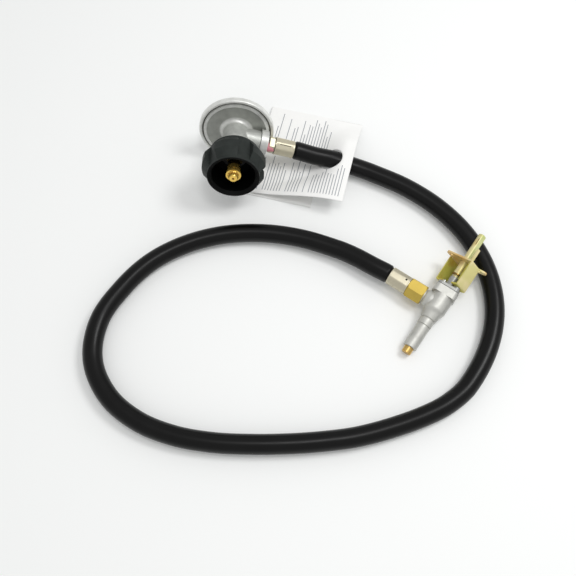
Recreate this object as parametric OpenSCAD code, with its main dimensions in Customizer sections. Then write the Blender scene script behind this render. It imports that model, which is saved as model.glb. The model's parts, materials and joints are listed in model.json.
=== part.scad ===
// Propane regulator hose: a low-pressure regulator with a hand-tightened cylinder nut,
// a rubber gas hose and a push-to-turn burner valve on its mounting bracket.
// Lengths are in millimetres and angles in degrees. The table is z = 0, and the origin
// lies on it under the middle of the metal pieces.
//
// The regulator is drawn along its own axis: s = 0 is the front of the crimped rim and
// s grows toward the cylinder nut. Its outlet points along the local x axis.
// The valve is drawn along its stem: s = 0 is the end of the spud, the stem points
// along s, and the hose comes in along the local x axis.

/* [Bonnet and rim] */
// Outer radius of the crimped rim
rim_r = 29.7; // [28.5:0.1:32]
// Thickness of the bonnet's wall and of its turned-in lip
bonnet_t = 1.1; // [0.9:0.1:1.3]
// Width that the lip covers, from the rim's outer radius
lip_w = 2.3; // [1.9:0.1:2.6]
// Radius of the bonnet's spring tower
tower_r = 12.5; // [12.2:0.1:13.5]
// Length of the tower, from the rim's front
tower_len = 24; // [22:0.5:25]
// Radius of the vent boss
vent_r = 3; // [2.6:0.1:3.6]

/* [Regulator body] */
// Thickness of the body's flange
flange_t = 2.1; // [1.9:0.1:2.4]
// Width of the dark groove between the lip and the bead
groove_w = 1.4; // [1:0.1:1.6]
// Width of the raised bead round the face
bead_w = 2.2; // [1.5:0.1:3]
// Radius of the inlet neck
neck_r = 10.5; // [9.5:0.1:11]
// Height of the neck's end above the rim's front
neck_len = 25.2; // [24.6:0.1:26]
// Radius of the blend at the neck's root
root_fillet = 2.9; // [2:0.1:3.5]
// Radius of the outlet boss
boss_r = 8.8; // [8.4:0.1:9.3]
// Radius of the ring at the outlet boss's end
boss_ring_r = 10.6; // [10:0.1:10.8]
// Height of the outlet's axis above the rim's front
outlet_s = 6.5; // [6.3:0.1:6.9]
// Radius of the chamber behind the diaphragm
chamber_r = 22; // [20:0.5:22.5]

/* [Regulating mechanism] */
// Thickness of the diaphragm
diaphragm_t = 0.8; // [0.6:0.05:0.9]
// Radius of the plate behind the diaphragm
plate_r = 16; // [14:0.5:16.5]
// Travel of the plate from open to shut
plate_travel = 1.2; // [0.8:0.1:1.2]
// Gap between the seat and the nozzle at rest
seat_gap = 0.5; // [0.45:0.01:0.6]
// Radius of the lever's pin
lever_pin_r = 0.8; // [0.7:0.05:0.9]
// Distance of the lever's pin from the regulator's axis
lever_arm = 16.5; // [16.3:0.1:16.7]
// Wire radius of the main spring
main_wire_r = 0.8; // [0.6:0.05:0.9]
// Mean radius of the main spring
main_coil_r = 9; // [8.7:0.1:9.4]

/* [Cylinder nut] */
// Radius of the nut's threaded bore
nut_bore_r = 16.65; // [16.4:0.05:17.2]
// Radius of the nut's barrel
nut_barrel_r = 20; // [19.4:0.1:20.8]
// Radius over the nut's grips
nut_grip_r = 24.4; // [23:0.1:26]
// Number of grips
nut_grips = 5; // [4:1:6]
// Angle of the valley between two grips
nut_valley = 28; // [16:1:32]
// Length of the nut
nut_len = 26.4; // [25:0.2:28]
// Thickness of the nut's back wall
nut_back = 3.5; // [3:0.1:4]

/* [Inlet nipple] */
// Radius of the nipple's shank
nipple_r = 4.9; // [4.8:0.05:5.4]
// Radius of the collar below the nose
collar_r = 5.8; // [5.6:0.1:6.4]
// Radius of the bore that holds the check poppet
poppet_bore_r = 2.6; // [2.4:0.05:2.9]
// Travel of the check poppet
poppet_travel = 1.5; // [1:0.1:2]

/* [Hose and ferrules] */
// Outer radius of the hose
hose_r = 7.25; // [7:0.05:7.25]
// Radius of the hose's bore
hose_bore_r = 4; // [3.8:0.1:4.4]
// Outer radius of the hose where a ferrule squeezes it
hose_neck_r = 6.1; // [5.9:0.05:6.2]
// Outer radius of a ferrule
ferrule_r = 7; // [6.9:0.05:7.4]
// Width of the ferrule across its crimped flats
ferrule_af = 13.4; // [13.1:0.1:13.8]
// Length of the ferrule at the regulator
reg_ferrule_len = 15.6; // [13:0.2:17]
// Length of the ferrule at the valve
valve_ferrule_len = 15.7; // [14:0.2:18]

/* [Gas valve] */
// Radius of the valve's spud
spud_r = 5.3; // [5:0.05:5.6]
// Length of the spud
spud_len = 19; // [16:0.5:19.5]
// Radius of the valve's cast barrel
barrel_r = 8.6; // [8.4:0.1:8.9]
// Height of the inlet's axis above the end of the spud
inlet_s = 39; // [38.5:0.1:39.5]
// Radius of the inlet boss
inlet_boss_r = 6.2; // [6:0.1:6.8]
// Width of the valve's top flange, along the inlet
flange_w = 18.5; // [18.2:0.1:20]
// Depth of the valve's top flange
flange_d = 17; // [16.6:0.1:18]
// Width of the flare nut across its flats
flare_af = 14.3; // [14:0.1:15]
// Length of the flare nut
flare_len = 13.2; // [12.6:0.1:14]
// Radius of the orifice's head
orifice_r = 3.6; // [3.4:0.1:4]

/* [Stem and bracket] */
// Radius of the knob end of the stem
stem_r = 3; // [2.8:0.05:3.2]
// Radius of the stem inside the cap
stem_neck_r = 2.2; // [2.1:0.05:2.4]
// Distance of the stem's flat from its axis
stem_flat = 2.2; // [2.1:0.05:2.5]
// Height of the stem's tip above the end of the spud
stem_tip = 103.4; // [100:0.2:106]
// Travel of the stem when it is pushed in
stem_travel = 2; // [1:0.1:2]
// Thickness of the bracket's sheet
sheet_t = 1.2; // [1:0.1:1.4]
// Width of the bracket
bracket_w = 12; // [10:0.1:12]
// Gap between the bracket's legs
leg_gap = 19.4; // [18.6:0.1:20]
// Reach of the plate's screw corners from the stem's axis
plate_reach = 12.5; // [11:0.1:13.5]
// Height of the plate's underside above the end of the spud
plate_s = 77.5; // [75:0.1:78]

/* [Instruction leaflet] */
// Width of the leaflet
leaf_w = 79; // [77:0.5:80]
// Height of the leaflet
leaf_h = 85; // [83:0.5:88]
// Thickness of the paper
paper_t = 0.3; // [0.2:0.05:0.4]
// Radius of the leaflet's hole
leaf_hole_r = 10; // [9.6:0.1:10.5]

/* [Hidden] */

// Clearances
seat_fit = 0.05;   // between pieces that are fixed together
run_fit = 0.08;    // round pieces that turn or slide in one another
pin_fit = 0.04;    // round the lever's pin
cut = 0.5;         // how far a cut runs past the face it opens
fine = 96;         // sides of the large round faces
small = 48;        // sides of the small round faces

// Stations along the regulator's axis
flange_front = -bonnet_t;
flange_back = flange_front - flange_t;
ledge_s = flange_back - diaphragm_t;   // where the bonnet clamps the diaphragm
ledge_t = 1.3;
rim_back = -(ledge_s - ledge_t);       // length of the rim
wall_in_r = rim_r - bonnet_t;
flange_r = wall_in_r - seat_fit;
lip_r = rim_r - lip_w;
bead_out_r = lip_r - groove_w;
bead_in_r = bead_out_r - bead_w;
bead_top = 0.3;
face_s = -0.4;
chamber_deep = 1.2;
chamber_floor = flange_back + chamber_deep;
clamp_r = chamber_r + 1.6;             // inner radius of the clamped ring

// Pose of the regulator: it stands on its rim, the nut's mouth tipped up
reg_lean = 14.3;                       // rise of the regulator's axis
outlet_roll = 17.35;                   // how far the outlet is turned down
rim_round = 1.5;                       // rounding of the rim's back edge
reg_x = -80.7;
reg_y = 75.8;
reg_z = (rim_r - rim_round)*cos(reg_lean) + rim_round + (rim_back - rim_round)*sin(reg_lean);

// Tower and the spring in it
tower_t = 1.3;
tower_in_r = tower_r - tower_t;
tower_foot = 12;                       // where the dome runs into the tower
cap_head_t = 2;
cap_thread = 3;
plug_t = 4;
main_spring_len = 10.2;
main_turns = 3.5;
plate_t = 1.2;
plate_front = ledge_s - seat_fit;
plate_back = plate_front - plate_t;
adjust_front = plate_back - main_spring_len;

// Outlet bore, nozzle and seat, along the outlet's axis from the regulator's axis
plunger_bore_r = 5;
bore_floor = 5.5;
nozzle_tip = 6.5;
nozzle_r = 2.4;
nozzle_len = 4.2;
nozzle_hole_r = 0.9;
thread_start = 18.5;
thread_r = 6.5;
outlet_end = bead_out_r - 1.3;
drill_r = 2.2;                         // inlet drilling down the neck
disc_r = 3.35;
disc_t = 1.8;
disc_front = nozzle_tip + seat_gap;
plunger_front = disc_front + 0.6;
plunger_r = plunger_bore_r - run_fit;

// Lever: a bell crank between the diaphragm plate and the plunger
pin_s = 0.8;                           // height of the lever's pin
short_x = 13.6;                        // where the short arm's tip stands
tip_r = 0.7;
tip_fit = 0.05;
lever_w = 5.2;
short_w = 3;
hub_r = 1.6;
arm_t = 0.9;
fork_w = 3;
button_s = -0.95;                      // back of the button on the plate's rod
rivet_t = 0.7;
rod_r = 1.2;
slot_half = 3.2;
slot_end = lever_arm + 2.1;
slot_start = 2.6;
arm_front = button_s - 0.25;
short_reach = outlet_s - pin_s;

// Cylinder nut, bushing and nipple
nut_s = neck_len + 0.8;
nut_mouth = nut_s + nut_len;
nut_floor = nut_s + nut_back;
nut_turn = -26.65;                     // middle of one grip, from the outlet
grip_low = 10.5;                       // where a grip's back slope ends above the nut's back
grip_high = 8.7;                       // where a grip starts to slope to the nut's mouth
grip_end = 2.4;                        // width of the plain ring at the mouth
grip_foot = 0.6;
grip_foot_r = 18.6;
back_round = 2.5;
mouth_round = 0.6;
mouth_flare = 2.3;                     // how far the mouth opens from the bore
bushing_r = 7.12;
nut_hole_r = bushing_r + run_fit;
bushing_flange_r = 9.5;
bushing_flange_t = 1.4;
bushing_flange_s = nut_floor + 0.15;
nipple_hex_s = bushing_flange_s + bushing_flange_t + seat_fit;
nipple_hex_af = 11;
nipple_hex_t = 3.4;
nipple_neck_r = 5.2;
nipple_thread_r = 4.8;
nipple_foot = 14;
shank_end = nut_mouth - 6.9;
collar_s = nut_mouth - 5.4;
collar_end = nut_mouth - 2.4;
nose_end = nut_mouth + 1.3;
nose_r = 2.9;
nose_foot_r = 3.9;
nose_groove_r = 3.1;
collar_lip_r = 4.5;
nose_hole_r = 0.95;
poppet_floor = nipple_hex_s;
poppet_seat = nose_end - 3.2;
poppet_len = 4;
poppet_stem_r = 1.1;
poppet_stem_len = 6;
check_wire_r = 0.25;
check_turns = 7;

// Fitting, sealant and ferrule at the regulator's outlet
gas_bore_r = 2.3;
fit_neck_r = 5.2;
fit_hex_af = 12;
fit_hex_x = outlet_end + 2;
fit_hex_t = 4;
reg_ferrule_x = fit_hex_x + fit_hex_t + 0.8;
ferrule_wall = 1;
barb_r = hose_bore_r - seat_fit;
barb_len = 12.6;
barb_step = 0.35;
barbs = 4;
seal_r = 5.8;
seal_t = 1.4;
slit_w = 0.5;
slit_len = 9;
slit_turn = 123;

// Valve: pose and stations along its stem
valve_pitch = 8;                       // rise of the stem above the table
valve_turn = 54.92;                    // turn of the stem about the vertical
valve_x = 49.3;
valve_y = -96.9;
valve_z = spud_r*cos(valve_pitch);
groove_d = 0.35;
neck_groove = 0.5;
hub_len = 5.9;                         // collar between the two grooves
hub_extra = 0.4;
cone_start = 25.4;
cone_end = 34;
body_top = 52;
flange_s = 46;
corner_r = 3.5;
cavity_r = 5;
outlet_bore_r = 3.2;
port_r = 1.8;
inlet_bore_r = 2.2;
plug_s = 31;
plug_top = 46;
plug_small_r = 3.8;
plug_big_r = 4.9;
plug_bore_r = 2.3;
port_turn = -90;                       // the plug's port stands shut at rest
tongue_t = 1.6;
tongue_w = 4.2;
tongue_s = 43.4;
slot_floor = tongue_s - stem_travel - 0.2;
gasket_t = 0.5;
cap_s = body_top + gasket_t;
cap_t = 2;
cap_w = flange_w - 1;
cap_d = flange_d - 1;
cap_pocket = 0.7;
cap_top = cap_s + cap_t;
cap_neck_r = 3.5;
cap_neck_end = 63.3;
plug_wire_r = 0.35;
plug_coil_r = 3.3;
plug_turns = 3;
plug_spring_top = 50.5;
stem_pin_s = 51.4;
stem_pin_r = 0.8;
stem_pin_half = 4.3;
clip_r = 3.8;
clip_t = 1;
clip_s = cap_neck_end + stem_travel + 0.15;
shoulder_s = clip_s + clip_t + seat_fit;
flat_start = plate_s + sheet_t + 1;
stem_low_r = stem_r + 0.2;             // the stem below its flat
neck_s = plug_top + stem_travel + 0.3; // clears the plug when the stem is pushed in
slit_start = stem_tip - 9.9;
slit_end = stem_tip - 4.1;
slit_depth = 0.8;
slit_off = 0.9;
tip_round = 0.5;

// Inlet boss, flare nut and the hose's tail, along the inlet from the stem's axis
inlet_end = 11.9;
flare_thread_r = 5.5;
flare_thread_end = 18.6;
flare_nose_x = 20.8;
flare_nose_r = 3.3;
tail_r = 3.4;
tail_head_r = 5.2;
nut_inner_end = flare_nose_x + 0.9;
flare_nut_x = inlet_end + 0.1;
flare_nut_end = flare_nut_x + flare_len;
flare_turn = 10;
valve_ferrule_x = flare_nut_end + 0.3;
ferrule_hole_r = 0.8;
ferrule_hole_x = 3.2;
ferrule_hole_turn = 106;
orifice_len = 4.6;
orifice_thread = 5;
orifice_hole_r = 0.45;
orifice_slot = 0.8;

// Bracket
bracket_roll = 41.5;                   // turn of the bracket from the inlet's line
pad_top = 56.2;
pad_r = 3;
foot_in = 5;
screw_n = 7.2;
screw_r = 1.25;
screw_head_r = 2.1;
screw_head_t = 1.8;
screw_depth = 8;
drive_w = 0.6;
plate_bend = 1.6;                      // outer radius of the bend from leg to plate
lug_round = 2.5;
lug_out = 3.6;                         // how far the lower screw corner passes the leg
stem_hole_r = 3.6;
panel_hole_r = 1.45;
panel_n = 7.3;
panel_b = 8.6;
guide_n = 4.3;                         // inner face of the strip beside the stem
guide_w = 2.4;
guide_low = 63;
guide_high = 91;

// Hose: the route's points lie on the hose's axis, and the ends follow the fittings
lie = 7.3;                             // height of the axis where the hose lies down
hose_sides = 12;
flare_out = 2.2;                       // length in which the hose swells past a ferrule
route = [
    [-18, 63.3, 13], [-2.5, 61.3, 10], [12.5, 56.5, 8.2], [27.5, 50.7, 7.4],
    [55.5, 36.3, lie], [80.5, 16.8, lie], [100, -7.6, lie], [112, -36.7, lie],
    [114.5, -67.3, lie], [107, -97, lie], [90, -125.5, lie], [74.5, -139, lie],
    [56, -148.3, lie], [32, -156.7, lie], [8, -162.8, lie], [-15, -165.8, lie],
    [-38, -167.4, lie], [-65, -167.8, lie], [-92.5, -166.4, lie], [-120, -161.5, lie],
    [-146.5, -151, lie], [-169, -132.7, lie], [-182.3, -106, lie], [-180.5, -76, lie],
    [-165.5, -49.7, lie], [-145.5, -28.3, lie], [-120.5, -13.7, lie], [-91.5, -5.3, lie],
    [-60.5, -3.7, lie], [-30.5, -8.2, 7.4], [-1.5, -18.4, 8.3], [12, -25.4, 9.4],
    [25.5, -34, 10.3]];

// Leaflet: its left lower corner, its turn, and how it rises over the hose
leaf_x = -74;
leaf_y = 37.6;
leaf_turn = -14;
leaf_low = 1.2;                        // height of the upper sheet where it lies
leaf_high = 17;                        // height of the strip that crosses the hose
rise_start = 44;
rise_full = 30;                        // above this height the left part lies flat
rise_end = 73;
side_start = 52;
hole_u = 61.5;
hole_v = 40;
flap_in = 1;
flap_w = 52.5;
flap_drop = 2;
fold_w = 0.8;
leaf_cols = 24;
leaf_rows = 10;

// ---------------------------------------------------------------- helpers

function arc(cx, cy, r, a0, a1, n = 6) =
    [for (i = [0:n]) let (a = a0 + (a1 - a0)*i/n) [cx + r*cos(a), cy + r*sin(a)]];
function unit(v) = v/norm(v);
function smooth(t) = let (c = min(max(t, 0), 1)) c*c*(3 - 2*c);

module at_regulator()
    translate([reg_x, reg_y, reg_z]) rotate([90 - reg_lean, 0, 0]) rotate([0, 0, -outlet_roll])
        children();

// The outlet's frame: z runs out along the outlet, and x points back down the axis
module at_outlet() at_regulator() translate([0, 0, outlet_s]) rotate([0, 90, 0]) children();

module at_valve()
    translate([valve_x, valve_y, valve_z]) rotate([0, 90 - valve_pitch, valve_turn])
        rotate([0, 0, 90]) children();

// The inlet's frame: z runs out along the inlet toward the hose
module at_inlet() at_valve() translate([0, 0, inlet_s]) rotate([0, 90, 0]) children();

// The bracket's frame: x runs along its plate
module at_bracket() at_valve() rotate([0, 0, 180 - bracket_roll]) children();

// A point on the outlet's axis and one on the inlet's, in the part's frame
outlet_dir = [cos(outlet_roll), -sin(outlet_roll)*sin(reg_lean), -sin(outlet_roll)*cos(reg_lean)];
inlet_dir = [-sin(valve_turn), cos(valve_turn), 0];
function on_outlet(x) = [reg_x, reg_y - outlet_s*cos(reg_lean), reg_z + outlet_s*sin(reg_lean)]
    + x*outlet_dir;
function on_inlet(x) = [valve_x + inlet_s*cos(valve_pitch)*cos(valve_turn),
    valve_y + inlet_s*cos(valve_pitch)*sin(valve_turn), valve_z + inlet_s*sin(valve_pitch)]
    + x*inlet_dir;

module tube(r_out, r_in, h, sides = small) difference() {
    cylinder(r = r_out, h = h, $fn = sides);
    translate([0, 0, -cut]) cylinder(r = r_in, h = h + 2*cut, $fn = sides);
}

module hexagon(af, h) cylinder(r = af/2/cos(30), h = h, $fn = 6);

// A rectangle with round corners, centred
module round_rect(w, d, r) union() {
    square([w, d - 2*r], center = true);
    square([w - 2*r, d], center = true);
    for (i = [-1, 1], j = [-1, 1])
        translate([i*(w/2 - r), j*(d/2 - r)]) circle(r = r, $fn = small);
}

// A coil spring of round wire that starts at z = wire radius
function coil_point(r, wire, h, turns, t) =
    [r*cos(360*turns*t), r*sin(360*turns*t), wire + (h - 2*wire)*t];
coil_steps = 8;                        // straight steps in a turn of a spring
module coil(r, wire, h, turns) {
    sides = 6;
    steps = round(turns*coil_steps);
    pitch = (h - 2*wire)/turns;
    echo(str("least gap between curls: ", pitch - 2*wire));
    points = [for (i = [0:steps]) let (t = i/steps, a = 360*turns*t,
            c = coil_point(r, wire, h, turns, t), out = [cos(a), sin(a), 0])
        for (j = [0:sides - 1]) let (b = 360*j/sides)
            c + wire*(cos(b)*out + sin(b)*[0, 0, 1])];
    polyhedron(points, concat(
        [for (i = [0:steps - 1], j = [0:sides - 1]) let (k = (j + 1) % sides)
            [i*sides + j, i*sides + k, (i + 1)*sides + k]],
        [for (i = [0:steps - 1], j = [0:sides - 1]) let (k = (j + 1) % sides)
            [i*sides + j, (i + 1)*sides + k, (i + 1)*sides + j]],
        [[for (j = [sides - 1:-1:0]) j]],
        [[for (j = [0:sides - 1]) steps*sides + j]]));
}

// ---------------------------------------------------------------- regulator

module regulator_body() color("silver") at_regulator() difference() {
    union() {
        rotate_extrude($fn = fine) polygon(concat(
            [[0, chamber_floor], [chamber_r, chamber_floor], [chamber_r, flange_back],
             [flange_r, flange_back], [flange_r, flange_front], [bead_out_r, flange_front],
             [bead_out_r, bead_top], [bead_in_r, bead_top], [bead_in_r, face_s]],
            arc(neck_r + root_fillet, face_s + root_fillet, root_fillet, 270, 180),
            [[neck_r, neck_len], [0, neck_len]]));
        outlet_boss();
    }
    // Inlet drilling and the nipple's thread
    translate([0, 0, outlet_s]) cylinder(r = drill_r, h = neck_len, $fn = small);
    translate([0, 0, nipple_foot])
        cylinder(r = nipple_thread_r + seat_fit, h = neck_len, $fn = small);
    outlet_bores();
    lever_slot();
}

boss_ring_w = 5.8;
boss_groove_w = 0.4;
module outlet_boss() {
    intersection() {
        translate([0, 0, outlet_s]) rotate([0, 90, 0]) union() {
            cylinder(r = boss_r, h = outlet_end - boss_ring_w - boss_groove_w, $fn = fine);
            cylinder(r = boss_r - boss_groove_w, h = outlet_end - 1, $fn = fine);
            translate([0, 0, outlet_end - boss_ring_w])
                cylinder(r = boss_ring_r, h = boss_ring_w, $fn = fine);
        }
        translate([-1, -2*boss_ring_r, flange_front])
            cube([2*outlet_end, 4*boss_ring_r, 4*boss_ring_r]);
    }
}

module outlet_bores() translate([0, 0, outlet_s]) rotate([0, 90, 0]) {
    cylinder(r = nozzle_r + seat_fit, h = bore_floor + cut, $fn = small);
    translate([0, 0, bore_floor])
        cylinder(r = plunger_bore_r, h = thread_start - bore_floor + cut, $fn = small);
    translate([0, 0, thread_start]) cylinder(r = thread_r, h = outlet_end, $fn = small);
}

// Slot for the lever's long arm, well for its short arm, and the pin's bore
module lever_slot() {
    well_start = short_x - 1.8;
    translate([-slot_start, -slot_half, chamber_floor - cut])
        cube([slot_start + slot_end, 2*slot_half, 0.4 - chamber_floor + cut]);
    translate([well_start, -slot_half, chamber_floor])
        cube([slot_end - well_start, 2*slot_half, 3 - chamber_floor]);
    translate([lever_arm, pin_half + seat_fit, pin_s]) rotate([90, 0, 0])
        cylinder(r = lever_pin_r + seat_fit/2, h = pin_half + boss_r, $fn = small);
}

module bonnet() color("lightgray") at_regulator() difference() {
    union() {
        rotate_extrude($fn = fine) polygon(concat(
            [[lip_r, flange_front], [lip_r, -0.35], [lip_r + 0.35, 0]],
            arc(rim_r - 1.2, -1.2, 1.2, 90, 0),
            arc(rim_r - rim_round, rim_round - rim_back, rim_round, 0, -90),
            [[clamp_r + 1.2, -rim_back], [tower_r + 1.6, -tower_foot],
             [tower_r, -tower_foot - 1.2], [tower_r, -tower_len], [tower_in_r, -tower_len],
             [tower_in_r, -tower_foot], [tower_in_r + 1.8, 0.9 - tower_foot],
             [clamp_r, ledge_s], [wall_in_r, ledge_s], [wall_in_r, flange_front]]));
        translate([0, -vent_y, -vent_end]) cylinder(r = vent_r, h = vent_len, $fn = small);
    }
    translate([0, -vent_y, -vent_end - cut]) cylinder(r = vent_r - 1, h = 2.2 + cut, $fn = small);
    translate([0, -vent_y, -vent_end]) cylinder(r = 0.8, h = vent_len + 1, $fn = small);
}
vent_y = 17.6;
vent_end = 13;
vent_len = 4.6;

module vent_screen() color("dimgray") at_regulator() translate([0, -vent_y, 1.2 - vent_end])
    difference() {
        cylinder(r = vent_r - 1 - seat_fit, h = 0.5, $fn = small);
        for (a = [0:60:300]) rotate([0, 0, a]) translate([1.1, 0, -cut])
            cylinder(r = 0.35, h = 1 + cut, $fn = small);
    }

module bonnet_cap() color("gray") at_regulator() difference() {
    union() {
        translate([0, 0, -tower_len - cap_head_t])
            cylinder(r = tower_in_r - 0.6, h = cap_head_t, $fn = fine);
        translate([0, 0, -tower_len])
            cylinder(r = tower_in_r - seat_fit, h = cap_thread, $fn = fine);
    }
    translate([-tower_r, -0.8, -tower_len - cap_head_t - cut]) cube([2*tower_r, 1.6, 1 + cut]);
}

module adjusting_plug() color("gold") at_regulator() difference() {
    translate([0, 0, adjust_front - plug_t])
        cylinder(r = tower_in_r - seat_fit, h = plug_t, $fn = fine);
    translate([0, 0, adjust_front - plug_t - cut]) hexagon(8, 2.5 + cut);
}

module main_spring() color("dimgray") at_regulator()
    translate([0, 0, adjust_front + seat_fit])
        coil(main_coil_r, main_wire_r, main_spring_len - 2*seat_fit, main_turns);

module diaphragm() color("darkslategray") at_regulator()
    rotate_extrude($fn = fine) polygon(concat(
        [[rod_r + 0.3, flange_back], [rod_r + 0.3, ledge_s], [plate_r + 0.8, ledge_s]],
        [for (i = [1:7]) let (t = i/8) [plate_r + 0.8 + fold_span*t,
            ledge_s - fold_deep*sin(180*t)]],
        [[clamp_r - 0.8, ledge_s], [flange_r, ledge_s], [flange_r, flange_back],
         [clamp_r - 0.8, flange_back]],
        [for (i = [7:-1:1]) let (t = i/8) [plate_r + 0.8 + fold_span*t,
            flange_back - fold_deep*sin(180*t)]],
        [[plate_r + 0.8, flange_back]]));
fold_span = clamp_r - plate_r - 1.6;
fold_deep = 1;

module diaphragm_plate() color("lightsteelblue") at_regulator() {
    // The ring that centres the spring; the coil's chords come nearer than its wire does
    ring_out = main_coil_r*cos(180/coil_steps) - main_wire_r - 0.3;
    ring_in = ring_out - 1.4;
    rotate_extrude($fn = fine) polygon([
        [0, plate_back], [ring_in, plate_back], [ring_in, plate_back - 1.1],
        [ring_out, plate_back - 1.1], [ring_out, plate_back], [plate_r, plate_back],
        [plate_r, plate_front], [rod_r, plate_front], [rod_r, flange_back + seat_fit],
        [3, flange_back + seat_fit], [3, flange_back + seat_fit + rivet_t],
        [rod_r, flange_back + seat_fit + rivet_t], [rod_r, button_s], [2.2, button_s],
        [2.2, button_s + 0.65], [0, button_s + 0.65]]);
}

module lever() color("goldenrod") at_regulator() difference() {
    union() {
        translate([0, lever_w/2, 0]) rotate([90, 0, 0]) linear_extrude(lever_w) polygon([
            [-1.9, arm_front - arm_t], [lever_arm - 2, arm_front - arm_t],
            [lever_arm + 0.8, pin_s - 1.2], [lever_arm, pin_s], [lever_arm - 1.2, pin_s],
            [lever_arm - 2.7, arm_front], [-1.9, arm_front]]);
        translate([lever_arm, lever_w/2, pin_s]) rotate([90, 0, 0])
            cylinder(r = hub_r, h = lever_w, $fn = small);
        translate([0, short_w/2, 0]) rotate([90, 0, 0]) linear_extrude(short_w) union() {
            polygon([[short_x - 0.4, 2.2], [lever_arm - 1.2, pin_s - 0.6],
                [lever_arm, pin_s + 1.2], [short_x + 0.4, 3.1], [short_x + 0.4, outlet_s],
                [short_x - 0.4, outlet_s]]);
            translate([short_x, outlet_s]) circle(r = tip_r, $fn = small);
        }
    }
    translate([lever_arm, lever_w, pin_s]) rotate([90, 0, 0])
        cylinder(r = lever_pin_r + pin_fit, h = 2*lever_w, $fn = small);
    translate([-2 - cut, -fork_w/2, arm_front - arm_t - cut])
        cube([4.2 + cut, fork_w, arm_t + 2*cut]);
}

pin_half = 5.4;
module lever_pin() color("silver") at_regulator() translate([lever_arm, pin_half, pin_s])
    rotate([90, 0, 0]) cylinder(r = lever_pin_r, h = 2*pin_half, $fn = small);

module inlet_nozzle() color("gold") at_outlet() translate([0, 0, nozzle_tip - nozzle_len])
    difference() {
        union() {
            cylinder(r = nozzle_r, h = nozzle_len - 0.6, $fn = small);
            cylinder(r1 = nozzle_r, r2 = nozzle_hole_r + 0.4, h = nozzle_len, $fn = small);
        }
        translate([0, 0, -cut]) cylinder(r = nozzle_hole_r, h = nozzle_len + 2*cut, $fn = small);
    }

// The plunger slides in the outlet bore, and the lever's short arm stands in its slot
module seat_plunger() color("gold") at_outlet() difference() {
    translate([0, 0, plunger_front])
        cylinder(r = plunger_r, h = short_x + 1.7 - plunger_front, $fn = small);
    translate([0, 0, plunger_front - cut])
        cylinder(r = disc_r + seat_fit, h = disc_t - 0.6 + cut, $fn = small);
    for (a = [30:60:330]) rotate([0, 0, a])
        translate([plunger_r - 0.8, 0, plunger_front - cut])
            cylinder(r = 0.5, h = 2*short_x, $fn = small);
    // x points back to the diaphragm here, so both slots open that way
    translate([-1.2, -short_w/2 - 0.3, short_x - tip_r - tip_fit])
        cube([2*plunger_r, short_w + 0.6, 2*(tip_r + tip_fit)]);
    translate([2.6, -short_w/2 - 0.3, short_x - tip_r - tip_fit])
        cube([2*plunger_r, short_w + 0.6, 4]);
}

module seat_disc() color("black") at_outlet() translate([0, 0, disc_front])
    cylinder(r = disc_r, h = disc_t, $fn = small);

// ---------------------------------------------------------------- cylinder nut

module hand_nut() color("darkslategray") at_regulator() difference() {
    union() {
        rotate_extrude($fn = fine) polygon(concat(
            [[0, nut_s]],
            arc(nut_barrel_r - back_round, nut_s + back_round, back_round, -90, 0),
            arc(nut_barrel_r - mouth_round, nut_mouth - mouth_round, mouth_round, 0, 90),
            [[0, nut_mouth]]));
        for (i = [0:nut_grips - 1])
            rotate([0, 0, nut_turn + 360*i/nut_grips - nut_grip_angle/2])
                rotate_extrude(angle = nut_grip_angle, $fn = fine) polygon([
                    [nut_bore_r + 1, nut_s + grip_foot],
                    [grip_foot_r, nut_s + grip_foot],
                    [nut_grip_r, nut_s + grip_low], [nut_grip_r, nut_mouth - grip_high],
                    [nut_barrel_r - 0.2, nut_mouth - grip_end],
                    [nut_bore_r + 1, nut_mouth - grip_end]]);
    }
    translate([0, 0, nut_s - cut]) cylinder(r = nut_hole_r, h = nut_len, $fn = fine);
    translate([0, 0, nut_floor]) cylinder(r = nut_bore_r, h = nut_len, $fn = fine);
    translate([0, 0, nut_mouth - mouth_flare])
        cylinder(r1 = nut_bore_r, r2 = nut_bore_r + mouth_flare + cut, h = mouth_flare + cut,
            $fn = fine);
}
nut_grip_angle = 360/nut_grips - nut_valley;

module thermal_bushing() color("black") at_regulator() {
    rotate_extrude($fn = small) polygon([
        [nipple_neck_r + seat_fit, neck_len], [bushing_r, neck_len],
        [bushing_r, bushing_flange_s], [bushing_flange_r, bushing_flange_s],
        [bushing_flange_r, bushing_flange_s + bushing_flange_t],
        [nipple_neck_r + seat_fit, bushing_flange_s + bushing_flange_t]]);
}

module inlet_nipple() color("gold") at_regulator() difference() {
    union() {
        rotate_extrude($fn = small) polygon([
            [0, nipple_foot], [nipple_thread_r, nipple_foot], [nipple_thread_r, neck_len + 0.05],
            [nipple_neck_r, neck_len + 0.4], [nipple_neck_r, nipple_hex_s],
            [nipple_r, nipple_hex_s], [nipple_r, shank_end], [nipple_r - 0.7, shank_end],
            [nipple_r - 0.7, collar_s], [collar_r - 0.3, collar_s],
            [collar_r, collar_s + 0.3], [collar_r, collar_end], [collar_lip_r, collar_end],
            [collar_lip_r - 0.3, collar_end + 0.6], [nose_groove_r, collar_end + 0.6],
            [nose_groove_r, collar_end + 1.2], [nose_foot_r, collar_end + 1.2],
            [nose_foot_r, collar_end + 1.5], [nose_r + 0.3, nose_end - 0.4],
            [nose_r, nose_end], [0, nose_end]]);
        translate([0, 0, nipple_hex_s]) hexagon(nipple_hex_af, nipple_hex_t);
    }
    translate([0, 0, nipple_foot - cut])
        cylinder(r = 1.5, h = poppet_floor - nipple_foot + 2*cut, $fn = small);
    translate([0, 0, poppet_floor])
        cylinder(r = poppet_bore_r, h = poppet_seat - poppet_floor, $fn = small);
    translate([0, 0, poppet_seat - cut]) cylinder(r = nose_hole_r, h = nut_len, $fn = small);
}

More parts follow.
